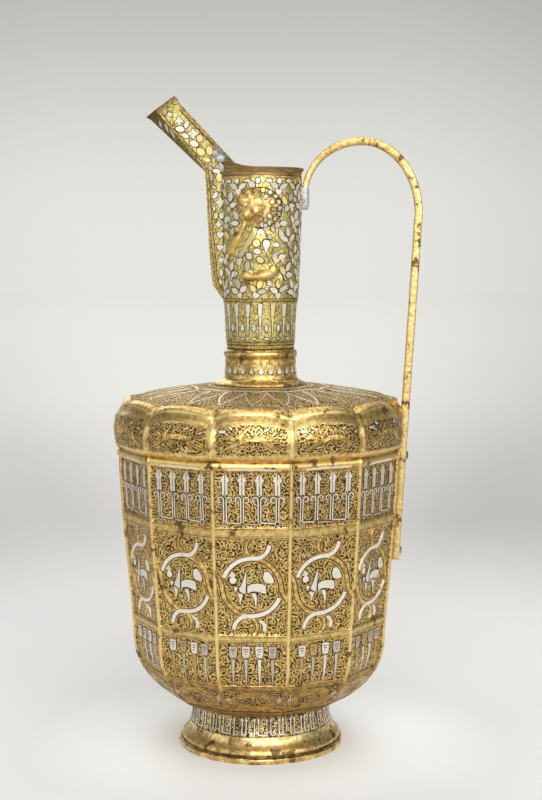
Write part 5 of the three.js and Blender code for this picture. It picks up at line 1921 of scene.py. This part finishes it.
# Each leaf of a cluster: place, turn, half width, half length, kind
TREFOIL = [(0.0, 3.5, 0, 1.75, 3.0, "leaf"), (-3.3, -0.5, 58, 1.7, 2.9, "leaf"),
           (3.3, -0.5, -58, 1.7, 2.9, "leaf"), (0.0, -4.0, 180, 1.8, 2.3, "heart"),
           (-5.9, 4.2, 30, 1.4, 2.3, "lozenge")]
columns = round(AROUND / CLUSTER)
for row in range(7):
    level = 280.2 + row * 10.2
    for column in range(columns):
        across = (column + 0.5 * (row % 2)) * AROUND / columns + chance.uniform(-0.7, 0.7)
        lean = math.radians(chance.uniform(-30, 30))
        for dx, dz, turn, wide, long, kind in TREFOIL:
            side = dx * math.cos(lean) - dz * math.sin(lean) + chance.uniform(-0.3, 0.3)
            up = dx * math.sin(lean) + dz * math.cos(lean) + chance.uniform(-0.3, 0.3)
            place = (across + side, level + up)
            in_band = LEAF_BAND[0] < place[1] < LEAF_BAND[1]
            if in_band and free_of_relief(*place) and not on_mane(*place):
                neck_leaves.put(kind, *place, turn + math.degrees(lean), wide * chance.uniform(0.95, 1.2),
                                long * chance.uniform(0.95, 1.2), fitting_tone(chance))

# A row of small leaves and ovals closes the field under the rim
UNDER_RIM = 343.8
for number in range(2 * columns):
    across = number * AROUND / (2 * columns)
    kind, turn, wide, long = ("leaf", 90, 1.2, 2.3) if number % 2 else ("oval", 0, 1.6, 1.8)
    if free_of_relief(across, UNDER_RIM):
        neck_leaves.put(kind, across, UNDER_RIM, turn, wide, long, fitting_tone(chance))

# Two arcs of silver dots stand on each mane, at these shares of its size
for reach, count in ((0.58, 6), (0.86, 10)):
    for number in range(count):
        turn = math.radians(-82 + 182 * number / (count - 1))
        right = MANE[0] + MANE_HALF[0] * reach * math.cos(turn)
        level = MANE[1] + MANE_HALF[1] * reach * math.sin(turn)
        if relief_at(right / TUBE_TOP - math.pi / 2, level) < 2.9:
            for across in (right, AROUND / 2 - right):
                tone = chance.choice((0.15, 0.35, 0.7, 0.9, 1.3, 1.6))
                neck_leaves.put("oval", across, level, math.degrees(turn) - 90, 1.3, 1.6, tone)

# Each shape on the chest: kind, to the right, level, lean, half width, half length, tone
CHEST = [("oval", 1.8, 313.2, 20, 2.5, 2.5, 0.95), ("oval", 4.5, 317.6, 0, 1.2, 1.6, 0.95),
         ("oval", 9.0, 315.4, 30, 1.2, 1.8, 0.5), ("heart", 6.9, 310.8, 150, 1.8, 2.2, 0.95),
         ("drop", 5.0, 305.2, 176, 2.3, 4.3, 1.0), ("oval", -0.7, 307.2, 0, 2.3, 2.4, 1.3),
         ("leaf", -0.4, 302.4, 80, 1.8, 2.7, 0.95), ("leaf", 14.6, 312.4, 20, 2.0, 4.0, 0.6),
         ("leaf", 11.2, 306.4, 75, 1.6, 2.4, 0.9), ("oval", -5.2, 299.6, 40, 2.0, 2.4, 0.75),
         ("leaf", 10.6, 299.6, -20, 1.8, 2.9, 0.4), ("oval", 1.4, 297.4, 60, 1.8, 2.6, 1.3)]
for kind, right, level, lean, wide, long, tone in CHEST:
    for across, turned_lean in ((right, lean), (AROUND / 2 - right, -lean)):
        neck_leaves.put(kind, across, level, turned_lean, wide, long, tone)

# %% Wedges and drops in the neck's lower band
WEDGES = 18
# Each wedge has two parts, with their levels and widths from the top down
WEDGE_PARTS = [((271.2, 267.5, 263.8), [3.9, 3.2, 2.4]), ((262.8, 257.5, 252.0), [1.9, 1.4, 0.5])]
wedge_places = [(number + 0.15) * AROUND / WEDGES for number in range(WEDGES)]
for across in wedge_places:
    between = across + AROUND / WEDGES / 2
    neck_leaves.put("leaf", between, 257.2, 0, 1.25, 2.6, fitting_tone(chance))
    neck_leaves.put("leaf", between, 250.6, 90, 0.9, 1.5, fitting_tone(chance))
neck_leaves.pieces("neck")

neck_silver = Inlay(neck_surface)
neck_bed = Inlay(neck_surface)
neck_gold = Inlay(neck_surface)
for across in wedge_places:
    tone = fitting_tone(chance)
    for levels, widths in WEDGE_PARTS:
        both([(across, level) for level in levels], widths, neck_silver, neck_bed, tone=tone)
for level, width in ((273.4, 0.9), (247.6, 0.8), (249.0, 0.8), (346.4, 0.7)):
    neck_gold.strip(ring_path(level, AROUND, 96), width, height=0.3, closed=True)
for level, width, height in ((274.3, 0.5, 0.14), (272.6, 0.5, 0.14), (248.3, 0.4, 0.14), (246.6, 0.6, 0.14),
                             (347.0, 0.4, 0.14), (244.2, 0.6, 0.2)):
    neck_bed.strip(ring_path(level, AROUND, 96), width, height=height, closed=True)
mane_line = [(MANE[0] + 14.1 * math.cos(t), MANE[1] + 11.9 * math.sin(t))
             for t in np.radians(np.linspace(-100, 150, 50))]
arm = [(-1.6, 316.0), (-3.2, 311.2), (-6.4, 306.4), (-10.0, 301.8)]
for turned_back in (False, True):
    if turned_back:
        mane_line = [(AROUND / 2 - x, level) for x, level in mane_line]
        arm = [(AROUND / 2 - x, level) for x, level in arm]
    neck_bed.strip(mane_line, 0.75, height=0.12)
    both(arm, [3.4, 4.4, 3.4, 1.3], neck_silver, neck_bed, tone=1.47, edge=0.4)
neck_silver.piece("neck_silver", silver, "silver_inlay", copies=0)
neck_bed.piece("neck_beds", pitch, "brown_brass", copies=0)
neck_gold.piece("neck_lines", frame_gold, "chased_brass", copies=0)

# %% [markdown]
# The collar carries twenty-four silver drops, each under a tiny palmette, and the foot a band of upright
# silver bars on a dark scroll ground. Both surfaces are turned, so one function finds their radius
# by level.

# %% Drops on the collar


def turned_surface(profile, reach, low=0.0):
    levels = [p[1] + low for p in profile]
    radii = [p[0] for p in profile]

    def surface(across, level, lift):
        radius = float(np.interp(level, levels, radii))
        slope = float(np.interp(level + 0.4, levels, radii)) - float(np.interp(level - 0.4, levels, radii))
        length = math.hypot(0.8, slope)
        angle = across / reach
        radius += lift * 0.8 / length
        return (radius * math.cos(angle), radius * math.sin(angle), level - lift * slope / length)

    return surface


COLLAR_REACH = 21.6
collar_surface = turned_surface(COLLAR_SIDE, COLLAR_REACH, COLLAR_LOW)
collar_leaves = Scatter(collar_surface)
DROPS = 24
DROP_LEVEL = 231.6
for number in range(DROPS):
    across = (number + 0.3) * 2 * math.pi * COLLAR_REACH / DROPS
    collar_leaves.put("drop", across, DROP_LEVEL, 0, 1.5, 2.4, min(fitting_tone(chance), 1.0))
    collar_leaves.put("leaf", across, DROP_LEVEL + 4.8, 0, 0.5, 1.0, 1.3)
collar_leaves.pieces("collar")

# %% Band on the foot
BAR_LOW = 15.9
BAR_TOP = 24.0
BAR_APART = 1.25
foot_surface = turned_surface(sorted(FOOT_SIDE, key=lambda p: p[1]), FOOT_REACH)
foot_silver = Inlay(foot_surface)
foot_bed = Inlay(foot_surface)
FOOT_CELLS = 36
cell = 2 * math.pi * FOOT_REACH / FOOT_CELLS
for number in range(FOOT_CELLS):
    across = number * cell
    tone = chance.choice((0.5, 0.65, 0.8))
    for side in (-1, 1):
        x = across + side * BAR_APART
        path = [(x, BAR_LOW), (x, (BAR_LOW + BAR_TOP) / 2), (x, BAR_TOP)]
        both(path, [1.1, 0.8, 0.9], foot_silver, foot_bed, tone=tone, edge=0.35)
        tip = [(x - 1.0, BAR_TOP), (x + 1.0, BAR_TOP), (x + 0.15 * side, BAR_TOP + 2.3)]
        foot_silver.plate(tip, tone=tone)
        foot_bed.plate(tip, height=0.1, grow=0.35)
    # What joins the bars differs from cell to cell: path from the middle of the bars, and width
    joins = [
        [([(BAR_APART, 0), (cell - BAR_APART, 0)], 0.9)],
        [(arc((2.9, 1.0), 1.25, 180, 400, 12), 0.8)],
        [([(-BAR_APART, 0), (BAR_APART, 0)], 0.9), ([(3.4, 2), (3.9, 5), (3.0, 7.4)], 0.7)],
    ]
    for path, width in joins[number % len(joins)]:
        path = [(across + x, BAR_LOW + up) for x, up in path]
        both(path, width, foot_silver, foot_bed, tone=tone, edge=0.3)
whole_round = 2 * math.pi * FOOT_REACH
seam = ring_path(4.75, whole_round, 180)
foot_bed.strip(seam, [chance.uniform(0.35, 1.25) for _ in seam], height=0.12, closed=True)
for level in (14.6, 27.0):
    foot_bed.strip(ring_path(level, whole_round, 120), 0.4, height=0.08, closed=True)
foot_silver.piece("foot_silver", silver, "silver_inlay", copies=0)
foot_bed.piece("foot_beds", pitch, "brown_brass", copies=0)

# %% [markdown]
# The channel and the spout carry a chain of silver lozenges and paired leaves between gold borders. The
# spout is a folded sheet with flat sides, and its solid is already exact, so a ray from outside finds
# the sheet under each leaf. The far side gets the same chain, mirrored.

# %% Chain on the spout
graph = bpy.context.evaluated_depsgraph_get()
spout_sheet = BVHTree.FromObject(spout_node, graph)
# Each leaf: kind, out from the axis, level, lean, half width, half length, tone
CHAIN = [
    ("oval", 27.1, 340.6, 60, 0.9, 1.9, 0.3), ("leaf", 26.4, 336.0, -35, 1.5, 2.6, 0.9),
    ("leaf", 21.9, 338.2, 12, 1.4, 2.6, 0.7), ("lozenge", 23.5, 331.6, 0, 2.5, 3.8, 0.95),
    ("leaf", 27.0, 328.2, -10, 0.8, 2.1, 0.9), ("oval", 26.0, 323.8, -8, 1.4, 2.2, 1.3),
    ("oval", 22.8, 323.8, 8, 1.3, 2.0, 0.9), ("lozenge", 24.5, 318.7, 0, 2.0, 2.5, 0.9),
    ("heart", 23.5, 312.3, 180, 2.2, 2.3, 0.95), ("heart", 23.6, 304.8, 180, 2.1, 2.2, 0.95),
    ("lozenge", 23.1, 297.4, 20, 1.9, 2.5, 0.9), ("leaf", 23.0, 290.0, 0, 1.2, 2.9, 0.9),
    ("leaf", 23.5, 284.4, 15, 0.9, 2.1, 0.8), ("lozenge", 53.8, 383.6, 20, 1.7, 1.9, 0.8),
    ("lozenge", 47.9, 380.0, 0, 1.9, 3.2, 0.95), ("leaf", 43.4, 378.0, -20, 1.6, 2.6, 0.9),
    ("oval", 47.4, 375.2, 82, 1.8, 3.0, 0.95), ("oval", 44.2, 371.2, 62, 1.5, 2.4, 0.9),
    ("lozenge", 39.6, 372.4, 0, 2.6, 3.6, 0.95), ("oval", 35.5, 369.6, 0, 2.1, 2.4, 1.3),
    ("oval", 39.0, 366.6, 70, 2.0, 3.0, 0.95), ("oval", 35.0, 361.7, 60, 2.3, 3.0, 1.3),
    ("oval", 29.8, 362.4, 10, 2.1, 2.9, 1.3), ("leaf", 31.6, 357.0, 70, 1.6, 2.8, 1.3),
    ("lozenge", 26.4, 361.0, 55, 1.9, 3.0, 0.1), ("oval", 22.4, 354.4, 0, 2.0, 2.7, 0.95),
    ("oval", 25.6, 350.2, 84, 1.5, 2.7, 0.9), ("oval", 28.6, 346.6, 5, 1.5, 2.7, 0.2),
    ("oval", 24.0, 346.4, 0, 2.0, 2.8, 1.3), ("leaf", 29.4, 352.2, 40, 1.4, 2.2, 0.3),
]
# Each edge of the sheet: places from end to end, and the width of the gold line along it
EDGES = [
    ([(31.2, 350.6), (30.8, 346.0), (30.0, 334.0), (29.2, 318.0), (27.6, 303.0), (26.2, 288.0),
      (24.8, 281.5), (22.4, 279.4)], 1.5),
    ([(59.6, 384.6), (50.7, 373.9), (40.0, 361.6), (31.4, 350.6)], 1.2),
    ([(47.6, 386.2), (39.8, 378.2), (32.6, 370.8), (27.4, 365.6)], 0.0),
]
STRIPES = [((60.2, 380.0), (58.8, 376.6)), ((56.6, 378.6), (54.6, 373.4)), ((53.4, 375.4), (50.7, 369.6))]


def spout_surface(side):
    """Across is counted to the right as the viewer of that side sees it."""

    def surface(across, level, lift):
        x = AXIS - side * across * MM
        found = spout_sheet.ray_cast(Vector((x, side * 0.05, level * MM)), Vector((0, -side, 0)))
        hit, normal = found[:2]
        if hit is None:
            hit, normal = spout_sheet.find_nearest(Vector((x, side * 0.011, level * MM)))[:2]
        hit = hit + normal * lift * MM
        return ((hit.x - AXIS) / MM, hit.y / MM, hit.z / MM)

    return surface


for side, label in ((-1, "near"), (1, "far")):
    surface = spout_surface(side)
    leaves = Scatter(surface, wobble=False)
    for kind, out, level, lean, wide, long, tone in CHAIN:
        leaves.put(kind, side * out, level, -side * lean, wide, long, tone)
    leaves.pieces(f"spout_{label}")
    line_gold = Inlay(surface)
    line_dark = Inlay(surface)
    line_pale = Inlay(surface)
    for path, width in EDGES:
        path = [(side * out, level) for out, level in path]
        fine = [(a[0] + (b[0] - a[0]) * s / 6, a[1] + (b[1] - a[1]) * s / 6)
                for a, b in zip(path, path[1:]) for s in range(6)] + [path[-1]]
        if width:
            line_gold.strip(fine, width, height=0.25)
        line_dark.strip(fine, width + 0.9, height=0.1)
    for start, end in STRIPES:
        stripe = [(side * (start[0] + (end[0] - start[0]) * s), start[1] + (end[1] - start[1]) * s)
                  for s in (0.0, 0.33, 0.67, 1.0)]
        line_pale.strip(stripe, [0.5, 1.5, 1.4, 0.4], height=0.16, tone=0.35)
    line_gold.piece(f"spout_lines_{label}", frame_gold, "chased_brass", copies=0, wobble=False)
    line_dark.piece(f"spout_beds_{label}", olive, "brown_brass", copies=0, wobble=False)
    line_pale.piece(f"spout_stripes_{label}", silver, "silver_inlay", copies=0, wobble=False)

# %% [markdown]
# Plain studio: a pale floor, painted brighter close round the vessel as a painted pool of light, a pale
# surround that only the camera and the metal's reflections see, painted as a glow that fades towards
# the sides, and large soft lamps at a level at which a colour looks as it is written.

# %% Floor
def floor_piece():
    rings = [0.0, 0.05, 0.1, 0.2, 0.35, 0.6, 1.0, 1.6, 2.6, 4.5, 8.0, 14.0]
    points, faces = [(0, 0, 0)], []
    steps = 72
    for radius in rings[1:]:
        for i in range(steps):
            turn = 2 * math.pi * i / steps
            points.append((radius * math.cos(turn), radius * math.sin(turn), 0))
    for i in range(steps):
        faces.append((0, 1 + i, 1 + (i + 1) % steps))
    for row in range(len(rings) - 2):
        for i in range(steps):
            j = (i + 1) % steps
            a, b = 1 + row * steps, 1 + (row + 1) * steps
            faces.append((a + i, b + i, b + j, a + j))
    mesh = bpy.data.meshes.new("floor")
    mesh.from_pydata(points, [], faces)
    floor = bpy.data.objects.new("floor", mesh)
    scene.collection.objects.link(floor)
    return floor


FAR_TONE = (0.79, 0.785, 0.75, 1.0)
MID_TONE = (0.71, 0.69, 0.665, 1.0)


def falloff_tree():
    """How much of the backdrop's tone is left at a direction: the light pool thins out to the sides."""
    tree, group_in, group_out = shader_group("backdrop falloff", [("Direction", VECTOR, None)],
                                             [("Share", FLOAT)])
    sideways = place_parts(tree, group_in.outputs["Direction"])["X"]
    right = ramp(tree, sideways, 0.0, 0.24, 1.0, 0.76)
    left = ramp(tree, sideways, -0.34, -0.17, 0.86, 1.0)
    wide = ramp(tree, maths(tree, "ABSOLUTE", sideways), 0.34, 0.75, 1.0, 0.66)
    share = product(tree, product(tree, right, left), wide)
    tree.links.new(share, group_out.inputs["Share"])
    return tree


falloff = falloff_tree()


def dimmed(tree, colour, share):
    return blend_colours(tree, share, (0.0, 0.0, 0.0, 1.0), colour)


def floor_finish():
    material, tree, shader, place = start_material("pale floor")
    shader.inputs["Roughness"].default_value = 0.9
    shader.inputs["Specular IOR Level"].default_value = 0.1
    length = add_node(tree, "ShaderNodeVectorMath", {"operation": "LENGTH"}, i0=place).outputs["Value"]
    # Painted pool of light: the floor's own colour is brightest within a few centimetres of the vessel and
    # darker further out.
    colour = blend_colours(tree, ramp(tree, length, 60.0, 160.0), (0.94, 0.95, 0.93, 1.0),
                           (0.72, 0.715, 0.70, 1.0))
    tree.links.new(colour, shader.inputs["Base Color"])
    # Further out the floor glows for the camera and the metal's reflections, darker at middle distance and
    # dimmer to the sides, as a painted fall-off of the studio light.
    glow = tree.nodes.new("ShaderNodeEmission")
    far = blend_colours(tree, ramp(tree, length, 600.0, 2600.0), MID_TONE, (0.83, 0.825, 0.79, 1.0))
    far = blend_colours(tree, ramp(tree, length, 4000.0, 13000.0), far, FAR_TONE)
    direction = add_node(tree, "ShaderNodeVectorMath", {"operation": "NORMALIZE"}, i0=place)
    share = use_group(tree, falloff, Direction=direction.outputs["Vector"]).outputs["Share"]
    tree.links.new(dimmed(tree, far, share), glow.inputs["Color"])
    share = product(tree, seen_directly(tree), ramp(tree, length, 300.0, 900.0))
    mix = tree.nodes.new("ShaderNodeMixShader")
    tree.links.new(share, mix.inputs[0])
    tree.links.new(shader.outputs[0], mix.inputs[1])
    tree.links.new(glow.outputs[0], mix.inputs[2])
    tree.links.new(mix.outputs[0], tree.nodes["Material Output"].inputs["Surface"])
    return material


floor = floor_piece()
floor.data.materials.append(floor_finish())

# %% World and lamps
world = bpy.data.worlds.new("studio")
scene.world = world
world.use_nodes = True
sky = world.node_tree
background = sky.nodes["Background"]
direction = add_node(sky, "ShaderNodeTexCoord").outputs["Generated"]
height = place_parts(sky, direction)["Z"]
shown = blend_colours(sky, ramp(sky, height, 0.018, 0.23), FAR_TONE, (0.455, 0.455, 0.43, 1.0))
shown = blend_colours(sky, ramp(sky, height, 0.23, 0.9), shown, (0.25, 0.25, 0.24, 1.0))
shown = dimmed(sky, shown, use_group(sky, falloff, Direction=direction).outputs["Share"])
lit = blend_colours(sky, seen_directly(sky), (0.40, 0.40, 0.40, 1.0), shown)
sky.links.new(lit, background.inputs["Color"])


# Each lamp: side, place, level it points at, width, height, power
LAMPS = [
    ("front", (0.35, -1.7, 1.15), 0.2, 2.0, 1.7, 30.0),
    ("left", (-1.7, -0.8, 0.9), 0.2, 1.2, 1.5, 4.0),
    ("right", (1.6, -1.0, 0.9), 0.2, 1.1, 1.4, 5.5),
    ("top", (0.0, 0.35, 1.9), 0.1, 1.9, 2.1, 17.0),
    ("back", (-0.5, 1.7, 1.1), 0.2, 1.4, 1.2, 8.0),
]
for side, place, aim, width, tall, power in LAMPS:
    data = bpy.data.lights.new(f"{side} softbox", "AREA")
    data.shape = "RECTANGLE"
    data.size = width
    data.size_y = tall
    data.energy = power
    lamp = bpy.data.objects.new(f"{side} softbox", data)
    lamp.location = place
    lamp.rotation_euler = (Vector((0, 0, aim)) - Vector(place)).to_track_quat("-Z", "Y").to_euler()
    scene.collection.objects.link(lamp)
print("lamps:", len(LAMPS))

# %% [markdown]
# The strap runs straight down past the shoulder, and the lobe behind it is beaten flat so that the
# strap can lie on it. The CAD shoulder already has that flat. Here everything past it is pressed
# back almost to its plane, which keeps the inlay in front of the ground.

# %% Flat behind the strap
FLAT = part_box("shoulder_shell")[1].x
PRESSED = 0.06
for name in ("lobed_shoulder", "lobe_beds", "lobe_beasts", "lobe_silver"):
    moved = 0
    for vertex in bpy.data.objects[name].data.vertices:
        if vertex.co.x > FLAT:
            vertex.co.x = FLAT + PRESSED * (vertex.co.x - FLAT)
            moved += 1
    print(name, moved, "points pressed flat")
